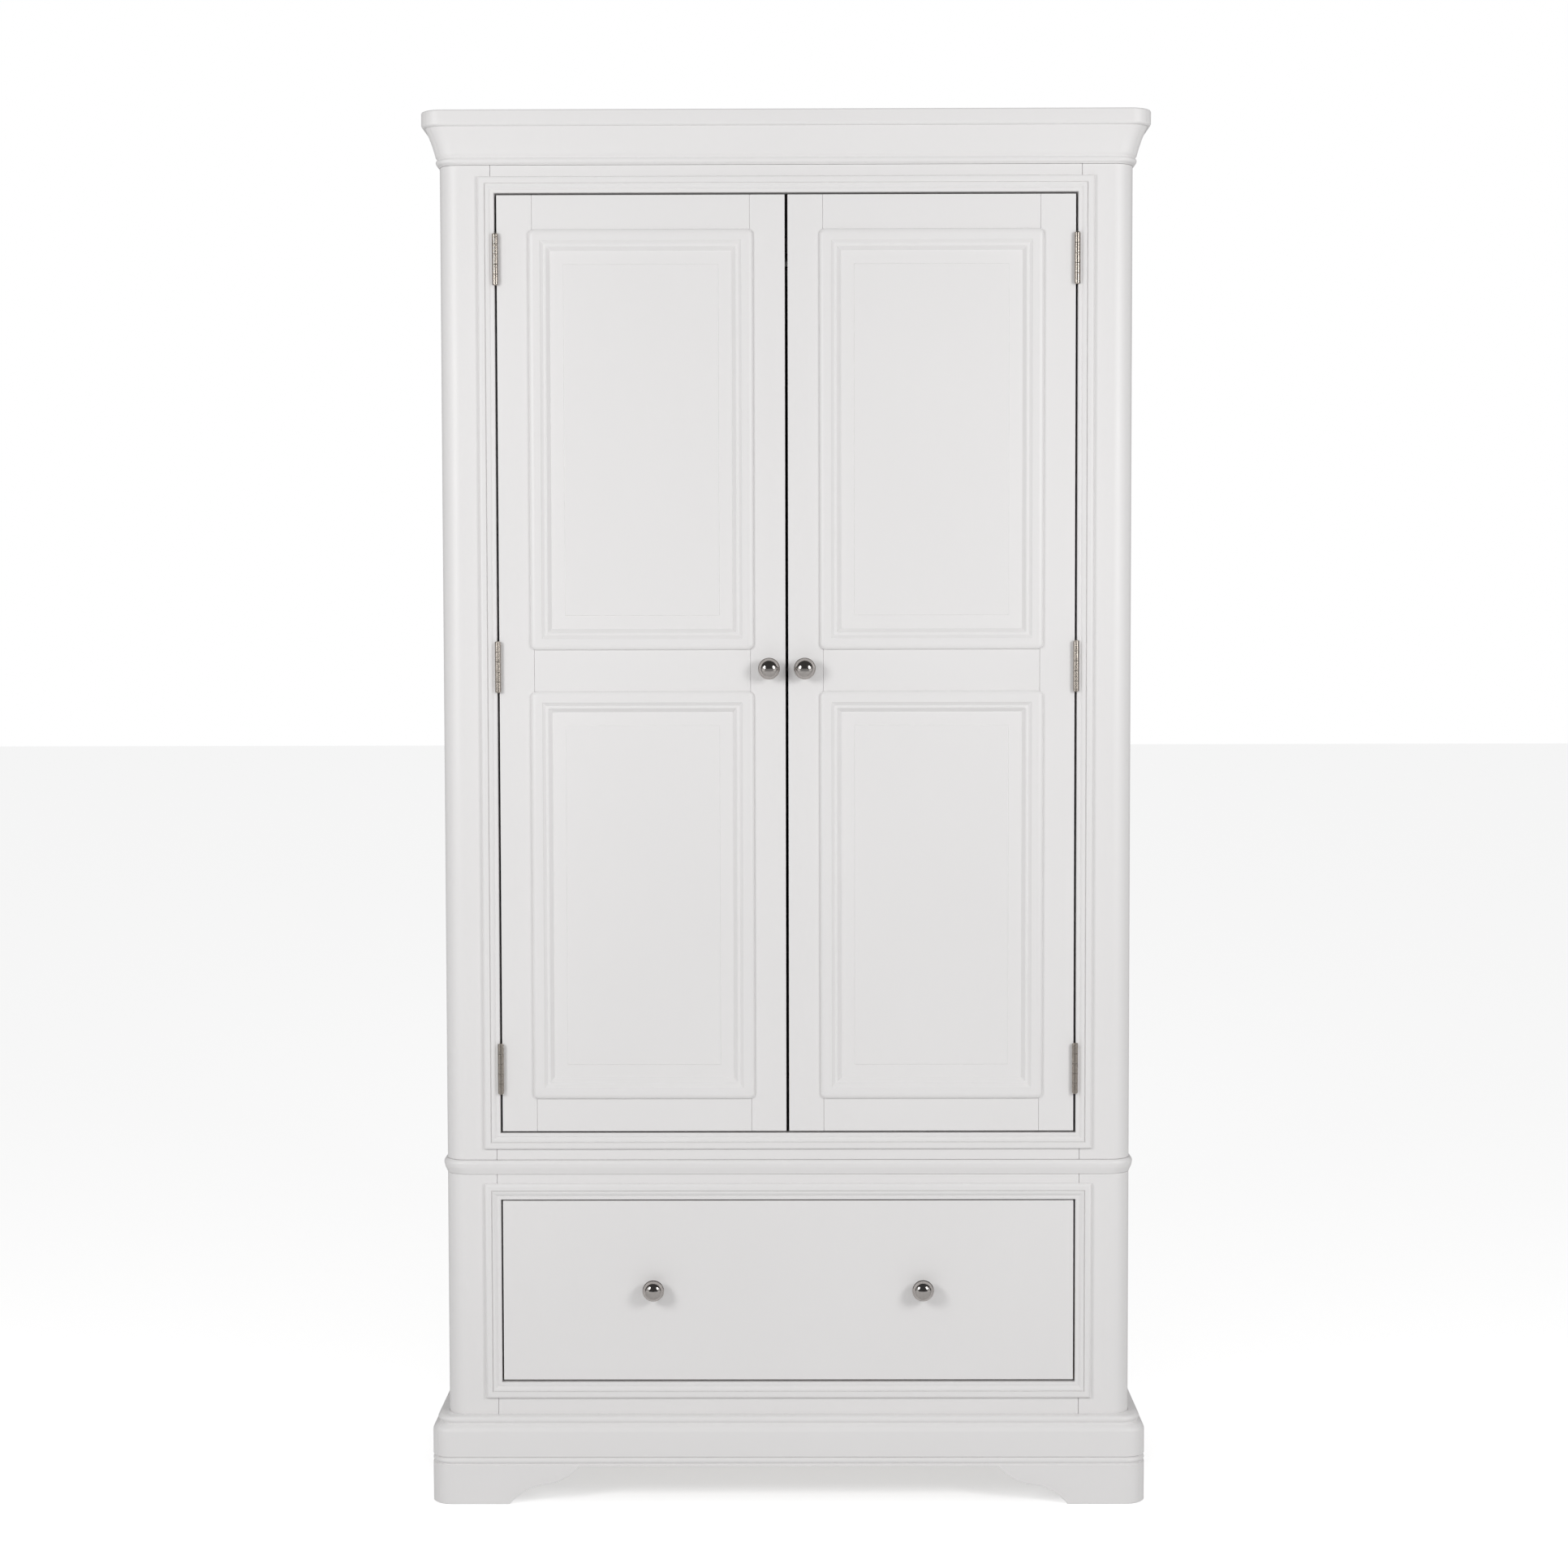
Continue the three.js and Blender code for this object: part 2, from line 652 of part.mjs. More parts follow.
function buildDoor() {
  const openings = [upperPanel, lowerPanel];
  const cuts = openings.flatMap(({ bottom, top }) => [
    box(panelSides.inner, panelSides.outer, -1, doorThickness + 1, bottom, top),
    box(panelSides.inner - panelGroove, panelSides.outer + panelGroove,
      panelTongue.front - gap, panelTongue.back + gap, bottom - panelGroove, top + panelGroove),
  ]);
  const frame = box(doorInner, doorOuter, 0, doorThickness, doorBottom, doorTop);
  addPair('door_frame', cut(frame, ...cuts), paint);
  for (const [name, { bottom, top }] of [['upper', upperPanel], ['lower', lowerPanel]]) {
    addPair(`door_panel_${name}`, raisedPanel(panelSides.inner, panelSides.outer, bottom, top), paint);
    const inset = panelMouldingWidth - panelMouldingLap;
    const moulding = mitredFrame(panelMouldingProfile(), panelSides.inner + inset, panelSides.outer - inset,
      bottom + inset, top - inset);
    addPair(`door_moulding_${name}`, moulding, paint);
  }
  addPair('door_knob', knob(doorInner + doorKnobInset, doorBottom + doorKnobRise), nickel);
}

/** A turned knob on the front: a small base, a neck, a stepped rim and a domed head. */
function knob(x, z) {
  const rim = knobRadius;
  const profile = [
    [0, gap],
    [8.5, gap],
    [8.5, 2],
    [6.5, 3.5],
    [5.2, 6],
    [5.6, 9.5],
    [9, 12],
    [rim - 1, 14.5],
    [rim, 16],
    [rim, 18],
    [rim - 1.6, 18.6],
    [rim - 2, 20.5],
    [rim - 4.6, 24.8],
    [rim - 8.8, 27.9],
    [0, knobProjection],
  ];
  const geometry = new THREE.LatheGeometry(profile.map(([r, h]) => new THREE.Vector2(r, h)), 20);
  geometry.rotateX(Math.PI);
  geometry.translate(x, 0, z);
  return geometry;
}

// ---- Hinges --------------------------------------------------------------------------------

/** One butt hinge of the right-hand door: the frame leaf with the pin, and the bored door leaf. */
function hinge(z0, z1) {
  const step = (z1 - z0) / knuckleCount;
  const spans = Array.from({ length: knuckleCount }, (_, i) => [
    z0 + i * step + gap / 2, z0 + (i + 1) * step - gap / 2,
  ]);
  const sheet = (x, y, low, high) => box(x, x + leafThickness, y, leafDepth, low, high);
  const knuckle = (x, [low, high]) => [
    rod(knuckleRadius, hingeX, hingeY, low, high), sheet(x, hingeY, low, high),
  ];
  const leaf = (x, parity) => [
    sheet(x, leafSetback, z0, z1),
    ...spans.filter((_, i) => i % 2 === parity).flatMap((span) => knuckle(x, span)),
  ];
  const pin = rod(hingePinRadius, hingeX, hingeY, z0 + gap, z1 - gap, 12);
  const bore = rod(hingeBoreRadius, hingeX, hingeY, z0 - 1, z1 + 1, 12);
  const frameLeaf = join(...leaf(openingSide - leafClearance - leafThickness, 0), pin);
  const doorLeaf = cut(join(...leaf(doorOuter + leafClearance, 1)), bore);
  return { frameLeaf, doorLeaf };
}

function buildHinges() {
  const names = ['bottom', 'middle', 'top'];
  hingeSpans().forEach(([z0, z1], i) => {
    const { frameLeaf, doorLeaf } = hinge(z0, z1);
    addPair(`hinge_frame_leaf_${names[i]}`, frameLeaf, nickel);
    addPair(`hinge_door_leaf_${names[i]}`, doorLeaf, nickel);
  });
}

// ---- Drawer --------------------------------------------------------------------------------

function buildDrawer() {
  const y0 = railThickness + gap;
  const inner = drawerBoxHalf - drawerBoardThickness;
  const bottomLow = drawerBoxBottom + drawerBottomRise;
  const bottomHigh = bottomLow + drawerBottomThickness;
  const reach = drawerGroove - gap;
  const groove = box(-inner - drawerGroove, inner + drawerGroove, railThickness - drawerGroove,
    bodyDepth, bottomLow - gap, bottomHigh + gap);
  const front = box(-drawerHalf, drawerHalf, 0, railThickness, drawerBottom, drawerTop);
  addPart('drawer_front', cut(front, groove), paint);
  const side = box(inner, drawerBoxHalf, y0, drawerBoxBack, drawerBoxBottom, drawerBoxTop);
  addPair('drawer_side', cut(side, groove), drawerWood);
  const backFront = drawerBoxBack - drawerBoardThickness;
  const back = box(-inner + gap, inner - gap, backFront, drawerBoxBack, bottomHigh + gap, drawerBoxTop);
  addPart('drawer_back', back, drawerWood);
  addPart('drawer_bottom', box(-inner - reach, inner + reach, railThickness - reach, drawerBoxBack,
    bottomLow, bottomHigh), drawerWood);
  addPair('drawer_knob', knob(drawerKnobOffset, drawerKnobHeight), nickel);
}

buildPlinth();
buildBase();
buildUpperUnit();
buildHangingRail();
buildSurrounds();
buildCornice();
buildDoor();
buildHinges();
buildDrawer();

export default wardrobe;
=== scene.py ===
"""The visual model of a painted two-door wardrobe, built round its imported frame.

Lengths are metres in the frame's own axes: +Z up, the doors facing -Y, +X to the right.
"""
import logging
import math
from dataclasses import dataclass, field
from enum import Enum
from typing import Iterable, Sequence

import bmesh
import bpy
from mathutils import Matrix, Vector


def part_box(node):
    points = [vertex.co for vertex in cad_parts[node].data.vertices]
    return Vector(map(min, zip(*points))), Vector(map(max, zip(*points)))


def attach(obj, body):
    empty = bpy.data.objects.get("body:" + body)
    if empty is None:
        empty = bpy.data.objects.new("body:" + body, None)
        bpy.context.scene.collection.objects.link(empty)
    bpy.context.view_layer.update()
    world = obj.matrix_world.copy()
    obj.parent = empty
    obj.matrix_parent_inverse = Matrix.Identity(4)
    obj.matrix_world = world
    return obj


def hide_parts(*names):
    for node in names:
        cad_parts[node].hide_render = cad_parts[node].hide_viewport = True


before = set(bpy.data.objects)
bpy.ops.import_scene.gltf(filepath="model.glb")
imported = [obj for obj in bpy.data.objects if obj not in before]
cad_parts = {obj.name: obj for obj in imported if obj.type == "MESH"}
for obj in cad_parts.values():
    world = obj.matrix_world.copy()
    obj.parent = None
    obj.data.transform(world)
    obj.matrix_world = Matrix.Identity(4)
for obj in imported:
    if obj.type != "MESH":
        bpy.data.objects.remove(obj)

LOG = logging.getLogger("wardrobe")
MM = 0.001
SMOOTH_ANGLE = 38.0
TOUCH = 1e-5
NEAR = 1e-4
MERGE = 1e-6

Section = Sequence[tuple[float, float]]


class Side(Enum):
    """The two halves of the wardrobe, with the sign of their x."""

    LEFT = -1
    RIGHT = 1

    @property
    def word(self) -> str:
        """The side's name as the frame's nodes end."""
        return self.name.lower()


class Run(Enum):
    """The way a board's grain and its brush marks run."""

    ACROSS = 0
    DEPTH = 1
    UP = 2


# ---- Finishes ----------------------------------------------------------------------------


class NodeBench:
    """Small helper that lays out a material's nodes."""

    def __init__(self, name: str) -> None:
        """Makes an empty node material.

        Args:
            name: the material's name.
        """
        self.material = bpy.data.materials.new(name)
        self.material.use_nodes = True
        self.tree = self.material.node_tree
        self.tree.nodes.clear()
        self.shader = self.add("ShaderNodeBsdfPrincipled")
        output = self.add("ShaderNodeOutputMaterial")
        self.link(self.shader.outputs["BSDF"], output.inputs["Surface"])

    def add(self, kind: str, **inputs: object) -> bpy.types.Node:
        """Adds a node and sets its unlinked sockets.

        Args:
            kind: the node's type name.
            **inputs: socket names, with spaces written as underscores, and their values.

        Returns:
            The new node.
        """
        node = self.tree.nodes.new(kind)
        for name, value in inputs.items():
            node.inputs[name.replace("_", " ")].default_value = value
        return node

    def link(self, start: bpy.types.NodeSocket, end: bpy.types.NodeSocket) -> None:
        """Joins two sockets."""
        self.tree.links.new(start, end)

    def position(self, scale: Sequence[float]) -> bpy.types.NodeSocket:
        """Object coordinates, stretched on each axis.

        Args:
            scale: how often a pattern repeats per metre on each axis.

        Returns:
            The socket that holds the vector.
        """
        place = self.add("ShaderNodeTexCoord")
        mapping = self.add("ShaderNodeMapping", Scale=tuple(scale))
        self.link(place.outputs["Object"], mapping.inputs["Vector"])
        return mapping.outputs["Vector"]

    def noise(self, scale: Sequence[float], detail: float = 3.0, rough: float = 0.5) -> bpy.types.NodeSocket:
        """A noise pattern between 0 and 1.

        Args:
            scale: repeats per metre on each axis.
            detail: octaves of finer noise.
            rough: strength of the finer octaves.

        Returns:
            The pattern's socket.
        """
        node = self.add("ShaderNodeTexNoise", Scale=1.0, Detail=detail, Roughness=rough)
        self.link(self.position(scale), node.inputs["Vector"])
        return node.outputs["Fac"]

    def ramp(self, source: bpy.types.NodeSocket, low: Sequence[float], high: Sequence[float],
             start: float = 0.3, end: float = 0.7) -> bpy.types.NodeSocket:
        """Turns a pattern into colours.

        Args:
            source: the pattern.
            low: colour at and below start.
            high: colour at and above end.
            start: where the low colour ends.
            end: where the high colour begins.

        Returns:
            The colour socket.
        """
        node = self.add("ShaderNodeValToRGB")
        node.color_ramp.elements[0].position = start
        node.color_ramp.elements[1].position = end
        node.color_ramp.elements[0].color = (*low, 1.0)
        node.color_ramp.elements[1].color = (*high, 1.0)
        self.link(source, node.inputs["Fac"])
        return node.outputs["Color"]

    def span(self, source: bpy.types.NodeSocket, low: float, high: float) -> bpy.types.NodeSocket:
        """Maps a pattern from 0..1 to low..high.

        Returns:
            The mapped value's socket.
        """
        node = self.add("ShaderNodeMapRange", To_Min=low, To_Max=high)
        self.link(source, node.inputs["Value"])
        return node.outputs["Result"]

    def bump(self, source: bpy.types.NodeSocket, depth: float,
             under: bpy.types.NodeSocket | None = None) -> bpy.types.NodeSocket:
        """Raises a pattern from the surface.

        Args:
            source: the height pattern.
            depth: the height in metres where the pattern is 1.
            under: the normal of a coarser layer, if there is one.

        Returns:
            The normal's socket.
        """
        node = self.add("ShaderNodeBump", Strength=1.0, Distance=depth)
        self.link(source, node.inputs["Height"])
        if under is not None:
            self.link(under, node.inputs["Normal"])
        return node.outputs["Normal"]


def along(run: Run, fine: float, coarse: float) -> tuple[float, float, float]:
    """A scale that is coarse along the run and fine across it.

    Args:
        run: the way the grain runs.
        fine: repeats per metre across the run.
        coarse: repeats per metre along it.

    Returns:
        The scale on x, y and z.
    """
    scale = [fine, fine, fine]
    scale[run.value] = coarse
    return scale[0], scale[1], scale[2]


@dataclass(frozen=True)
class PaintFinish:
    """Brushed satin paint over wood: faint brush marks, faint grain under them, slight tone drift."""

    name: str
    colour: tuple[float, float, float]
    roughness: float
    drift: float = 0.012
    brush_depth: float = 0.000012
    grain_depth: float = 0.00002

    def material(self, run: Run) -> bpy.types.Material:
        """The finish with its marks along a run, made once for each.

        Args:
            run: the way the board's grain runs.

        Returns:
            The material.
        """
        name = f"{self.name}_{run.name.lower()}"
        if name in bpy.data.materials:
            return bpy.data.materials[name]
        bench = NodeBench(name)
        tone = bench.noise((2.3, 2.3, 1.7), detail=4.0)
        low = [c * (1 - self.drift) for c in self.colour]
        high = [min(1.0, c * (1 + self.drift)) for c in self.colour]
        bench.link(bench.ramp(tone, low, high), bench.shader.inputs["Base Color"])
        brush = bench.noise(along(run, 900.0, 14.0), detail=2.0)
        grain = bench.noise(along(run, 120.0, 3.5), detail=5.0, rough=0.6)
        marks = bench.bump(grain, self.grain_depth)
        bench.link(bench.bump(brush, self.brush_depth, marks), bench.shader.inputs["Normal"])
        cloud = bench.noise(along(run, 60.0, 8.0), detail=3.0)
        sheen = bench.span(cloud, self.roughness - 0.05, self.roughness + 0.06)
        bench.link(sheen, bench.shader.inputs["Roughness"])
        bench.shader.inputs["Specular IOR Level"].default_value = 0.42
        return bench.material


@dataclass(frozen=True)
class WoodFinish:
    """Sealed bare pine with growth lines and pores along its run."""

    name: str
    pale: tuple[float, float, float]
    dark: tuple[float, float, float]
    roughness: float
    pore_depth: float = 0.00005

    def material(self, run: Run) -> bpy.types.Material:
        """The finish with its grain along a run, made once for each."""
        name = f"{self.name}_{run.name.lower()}"
        if name in bpy.data.materials:
            return bpy.data.materials[name]
        bench = NodeBench(name)
        wander = bench.noise(along(run, 14.0, 1.2), detail=3.0)
        rings = bench.add("ShaderNodeTexWave", Scale=1.0, Distortion=5.0, Detail=2.5, Detail_Scale=1.4)
        rings.wave_type = "BANDS"
        rings.bands_direction = "DIAGONAL"
        bench.link(bench.position(along(run, 26.0, 1.4)), rings.inputs["Vector"])
        pores = bench.noise(along(run, 700.0, 22.0), detail=2.0)
        mix = bench.add("ShaderNodeMath")
        mix.operation = "MULTIPLY"
        bench.link(rings.outputs["Fac"], mix.inputs[0])
        bench.link(wander, mix.inputs[1])
        tone = bench.ramp(mix.outputs[0], self.pale, self.dark, 0.15, 0.75)
        bench.link(tone, bench.shader.inputs["Base Color"])
        bench.link(bench.bump(pores, self.pore_depth), bench.shader.inputs["Normal"])
        rough = bench.span(pores, self.roughness - 0.06, self.roughness + 0.08)
        bench.link(rough, bench.shader.inputs["Roughness"])
        return bench.material


@dataclass(frozen=True)
class MetalFinish:
    """Plated or bare metal with fine handling marks."""

    name: str
    colour: tuple[float, float, float]
    roughness: float
    marks: float = 0.03
    scale: float = 300.0

    def material(self) -> bpy.types.Material:
        """The finish, made once."""
        if self.name in bpy.data.materials:
            return bpy.data.materials[self.name]
        bench = NodeBench(self.name)
        cloud = bench.noise((self.scale, self.scale, self.scale), detail=3.0)
        low = [c * 0.93 for c in self.colour]
        bench.link(bench.ramp(cloud, low, self.colour), bench.shader.inputs["Base Color"])
        rough = bench.span(cloud, max(0.02, self.roughness - self.marks), self.roughness + self.marks)
        bench.link(rough, bench.shader.inputs["Roughness"])
        bench.shader.inputs["Metallic"].default_value = 1.0
        return bench.material


PAINT = PaintFinish("off_white_paint", (0.83, 0.818, 0.815), 0.42)
INNER_PAINT = PaintFinish("inner_paint", (0.79, 0.775, 0.75), 0.55, drift=0.02)
PINE = WoodFinish("sealed_pine", (0.78, 0.62, 0.42), (0.60, 0.40, 0.22), 0.5)
END_GRAIN = WoodFinish("pine_end_grain", (0.62, 0.45, 0.27), (0.44, 0.28, 0.15), 0.6)
KNOB_NICKEL = MetalFinish("polished_nickel", (0.50, 0.47, 0.45), 0.09, marks=0.02)
HINGE_NICKEL = MetalFinish("satin_nickel", (0.40, 0.36, 0.32), 0.27)
RAIL_CHROME = MetalFinish("rail_chrome", (0.62, 0.61, 0.60), 0.14)
SCREW_STEEL = MetalFinish("screw_steel", (0.42, 0.40, 0.38), 0.3)


# ---- Shaping -----------------------------------------------------------------------------


@dataclass
class Block:
    """The limits of a board."""

    low: Vector
    high: Vector

    @classmethod
    def of(cls, node: str) -> "Block":
        """The limits of a node of the frame."""
        return cls(*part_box(node))

    @property
    def size(self) -> Vector:
        """Its three side lengths."""
        return self.high - self.low

    @property
    def middle(self) -> Vector:
        """Its centre."""
        return (self.low + self.high) / 2


def new_block(bm: bmesh.types.BMesh, block: Block) -> list[bmesh.types.BMVert]:
    """Adds a box.

    Args:
        bm: the mesh under construction.
        block: the box's limits.

    Returns:
        The box's corners.
    """
    place = Matrix.Translation(block.middle) @ Matrix.Diagonal((*block.size, 1.0))
    return bmesh.ops.create_cube(bm, size=1.0, matrix=place)["verts"]


def bevel(bm: bmesh.types.BMesh, edges: Iterable[bmesh.types.BMEdge], width: float,
          segments: int = 2) -> None:
    """Rounds edges over.

    Args:
        bm: the mesh under construction.
        edges: the edges to round.
        width: the bevel's offset.
        segments: faces across the bevel.
    """
    bmesh.ops.bevel(bm, geom=list(edges), offset=width, offset_type="OFFSET", segments=segments, profile=0.5,
                    affect="EDGES", material=-1, clamp_overlap=True)


def sharp_edges(bm: bmesh.types.BMesh, angle: float = 50.0) -> list[bmesh.types.BMEdge]:
    """The edges whose faces meet at more than an angle in degrees."""
    limit = math.radians(angle)
    return [e for e in bm.edges if len(e.link_faces) == 2 and e.calc_face_angle(0.0) > limit]


def chain(bm: bmesh.types.BMesh, points: Iterable[Vector]) -> list[bmesh.types.BMEdge]:
    """A closed chain of edges through some points."""
    verts = [bm.verts.new(p) for p in points]
    return [bm.edges.new(pair) for pair in zip(verts, verts[1:] + verts[:1])]


def pull(bm: bmesh.types.BMesh, edges: list[bmesh.types.BMEdge]) -> tuple[list, list]:
    """Extrudes a chain in place.

    Returns:
        The new chain's vertices and edges.
    """
    made = bmesh.ops.extrude_edge_only(bm, edges=edges)["geom"]
    verts = [g for g in made if isinstance(g, bmesh.types.BMVert)]
    fresh = set(verts)
    rim = [g for g in made if isinstance(g, bmesh.types.BMEdge) and set(g.verts) <= fresh]
    return verts, rim


def turn(bm: bmesh.types.BMesh, edges: list[bmesh.types.BMEdge], centre: Vector, angle: float,
         steps: int, axis: Vector) -> list[bmesh.types.BMEdge]:
    """Sweeps a chain about an axis.

    Args:
        bm: the mesh under construction.
        edges: the chain.
        centre: a point on the axis.
        angle: the sweep in degrees.
        steps: faces along the sweep.
        axis: the axis's direction.

    Returns:
        The edges at the sweep's end.
    """
    verts = list({v for e in edges for v in e.verts})
    made = bmesh.ops.spin(bm, geom=verts + edges, cent=centre, axis=axis, angle=math.radians(angle),
                          steps=steps, use_duplicate=False)
    return [g for g in made["geom_last"] if isinstance(g, bmesh.types.BMEdge)]


def slab(bm: bmesh.types.BMesh, outline: Iterable[Vector], travel: Vector) -> None:
    """A flat outline pulled into a solid.

    Args:
        bm: the mesh under construction.
        outline: the outline's points in order.
        travel: how far it is pulled, and which way.
    """
    face = bmesh.ops.contextual_create(bm, geom=chain(bm, outline))["faces"]
    made = bmesh.ops.extrude_face_region(bm, geom=face)["geom"]
    verts = [g for g in made if isinstance(g, bmesh.types.BMVert)]
    bmesh.ops.translate(bm, vec=travel, verts=verts)


def mitred_ring(bm: bmesh.types.BMesh, section: Section, opening: Block) -> None:
    """A moulding with mitred corners round an opening in the front plane.

    Args:
        bm: the mesh under construction.
        section: points as millimetres out from the opening's edge and proud of its face.
        opening: the clear opening, with its face at low.y.
    """
    centre = Vector((opening.middle.x, opening.low.y, opening.middle.z))
    half = opening.size / 2
    corner = (centre + Vector((half.x + o * MM, -p * MM, half.z + o * MM)) for o, p in section)
    rim = chain(bm, corner)
    for flip in ((-1, 1, 1), (1, 1, -1)) * 2:
        verts, rim = pull(bm, rim)
        bmesh.ops.scale(bm, vec=flip, space=Matrix.Translation(-centre), verts=verts)
    bmesh.ops.remove_doubles(bm, verts=bm.verts, dist=MERGE)


def rounded_ring(bm: bmesh.types.BMesh, section: Section, opening: Block, turn_out: float) -> None:
    """A moulding round an opening whose corners are turned about points outside it.

    Args:
        bm: the mesh under construction.
        section: points as millimetres out from the opening's edge and proud of its face, all beyond turn_out.
        opening: the clear opening, with its face at low.y.
        turn_out: how far out the corners' centres are, in millimetres.
    """
    centre = Vector((opening.middle.x, opening.low.y, opening.middle.z))
    half = opening.size / 2 + Vector((turn_out, 0, turn_out)) * MM
    start = (centre + Vector((half.x + (o - turn_out) * MM, -p * MM, -half.z)) for o, p in section)
    rim = chain(bm, start)
    up = Vector((0, 0, 2 * half.z))
    left = Vector((-2 * half.x, 0, 0))
    place = centre + Vector((half.x, 0, -half.z))
    for step in (up, left, -up, -left):
        verts, rim = pull(bm, rim)
        bmesh.ops.translate(bm, vec=step, verts=verts)
        place = place + step
        rim = turn(bm, rim, place, -90, 6, Vector((0, 1, 0)))
    bmesh.ops.remove_doubles(bm, verts=bm.verts, dist=MERGE)


def lay_across(bm: bmesh.types.BMesh, opening: Block) -> None:
    """Gives the horizontal lengths of a ring the second material.

    Args:
        bm: the ring.
        opening: the opening that it runs round.
    """
    for face in bm.faces:
        off = face.calc_center_median() - opening.middle
        if abs(off.z) - opening.size.z / 2 > abs(off.x) - opening.size.x / 2:
            face.material_index = 1


def lathe(bm: bmesh.types.BMesh, section: Section, foot: Vector, axis: Vector, steps: int = 48) -> None:
    """A turned solid.

    Args:
        bm: the mesh under construction.
        section: points as millimetres of radius and of height along the axis, from axis to axis.
        foot: where the axis starts.
        axis: the axis's direction, of length 1.
        steps: faces round the axis.
    """
    across = axis.orthogonal().normalized()
    verts = [bm.verts.new(foot + across * (r * MM) + axis * (h * MM)) for r, h in section]
    edges = [bm.edges.new(pair) for pair in zip(verts, verts[1:])]
    bmesh.ops.spin(bm, geom=verts + edges, cent=foot, axis=axis, angle=math.tau, steps=steps, use_merge=True,
                   use_duplicate=False)
    bmesh.ops.remove_doubles(bm, verts=bm.verts, dist=MERGE)


def arc(x: float, y: float, radius: float, start: float, end: float,
        steps: int) -> list[tuple[float, float]]:
    """Points on an arc.

    Args:
        x: the centre's first coordinate.
        y: the centre's second coordinate.
        radius: the arc's radius.
        start: first angle in degrees.
        end: last angle in degrees.
        steps: pieces of the arc.

    Returns:
        The points, in the centre's units.
    """
    angles = [math.radians(start + (end - start) * i / steps) for i in range(steps + 1)]
    return [(x + radius * math.cos(a), y + radius * math.sin(a)) for a in angles]


@dataclass
class Piece:
    """How a finished mesh joins the model."""

    name: str
    body: str
    slot: str
    material: bpy.types.Material
    stands_for: Sequence[str] = ()
    smooth_angle: float = SMOOTH_ANGLE
    second: bpy.types.Material | None = None

    def make(self, bm: bmesh.types.BMesh) -> bpy.types.Object:
        """Turns a bmesh into a piece of the model and frees it.

        Args:
            bm: the finished mesh.

        Returns:
            The new object.
        """
        bmesh.ops.recalc_face_normals(bm, faces=bm.faces)
        mesh = bpy.data.meshes.new(self.name)
        bm.to_mesh(mesh)
        bm.free()
        mesh.shade_smooth()
        mesh.set_sharp_from_angle(angle=math.radians(self.smooth_angle))
        mesh.materials.append(self.material)
        if self.second:
            mesh.materials.append(self.second)
        obj = bpy.data.objects.new(self.name, mesh)
        bpy.context.scene.collection.objects.link(obj)
        even = obj.modifiers.new("even_normals", "WEIGHTED_NORMAL")
        even.keep_sharp = True
        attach(obj, self.body)
        if self.stands_for:
            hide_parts(*self.stands_for)
        LOG.info("%s: %d faces on %s", self.name, len(mesh.polygons), self.body)
        return obj


def painted(bm: bmesh.types.BMesh, node: str, ending: str, run: Run) -> bpy.types.Object:
    """Makes a painted piece of the carcass that stands for one node of the frame.

    Args:
        bm: the finished mesh, which is freed.
        node: the node that it stands for.
        ending: what its name adds to the node's.
        run: the way its grain runs.

    Returns:
        The new object.
    """
    return Piece(f"{node}_{ending}", "carcass", "paint", PAINT.material(run), [node]).make(bm)


def carve(obj: bpy.types.Object, cutter: bmesh.types.BMesh) -> None:
    """Cuts a shape out of a piece for good.

    Args:
        obj: the piece.
        cutter: the shape to take away, which is freed.
    """
    bmesh.ops.recalc_face_normals(cutter, faces=cutter.faces)
    mesh = bpy.data.meshes.new("cutter")
    cutter.to_mesh(mesh)
    cutter.free()
    tool = bpy.data.objects.new("cutter", mesh)
    bpy.context.scene.collection.objects.link(tool)
    modifier = obj.modifiers.new("carve", "BOOLEAN")
    modifier.operation = "DIFFERENCE"
    modifier.solver = "EXACT"
    modifier.object = tool
    obj.modifiers.move(len(obj.modifiers) - 1, 0)
    others = [m for m in obj.modifiers if m != modifier]
    for other in others:
        other.show_viewport = False
    graph = bpy.context.evaluated_depsgraph_get()
    graph.update()
    carved = bpy.data.meshes.new_from_object(obj.evaluated_get(graph))
    obj.modifiers.remove(modifier)
    for other in others:
        other.show_viewport = True
    old = obj.data
    carved.name = old.name
    obj.data = carved
    bpy.data.meshes.remove(old)
    bpy.data.objects.remove(tool)
    bpy.data.meshes.remove(mesh)
    carved.set_sharp_from_angle(angle=math.radians(SMOOTH_ANGLE))


def soften(obj: bpy.types.Object, width: float, angle: float) -> bpy.types.Modifier:
    """Rounds an object's sharp edges a little, by a modifier.

    Args:
        obj: the object.
        width: the bevel's width.
        angle: the least angle in degrees of an edge that is rounded.

    Returns:
        The modifier.
    """
    soft = obj.modifiers.new("soft_edges", "BEVEL")
    soft.width = width
    soft.segments = 2
    soft.limit_method = "ANGLE"
    soft.angle_limit = math.radians(angle)
    return soft


def dress(node: str, material: bpy.types.Material, edge: float) -> None:
    """Gives a node of the frame its finish and softens its edges.

    Args:
        node: the node's name.
        material: its finish.
        edge: the width of its softened edges.
    """
    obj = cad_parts[node]
    obj.data.materials.clear()
    obj.data.materials.append(material)
    weld = obj.modifiers.new("weld", "WELD")
    weld.merge_threshold = TOUCH
    soften(obj, edge, 40.0)
    LOG.info("%s: dressed", node)


# ---- Carcass -----------------------------------------------------------------------------


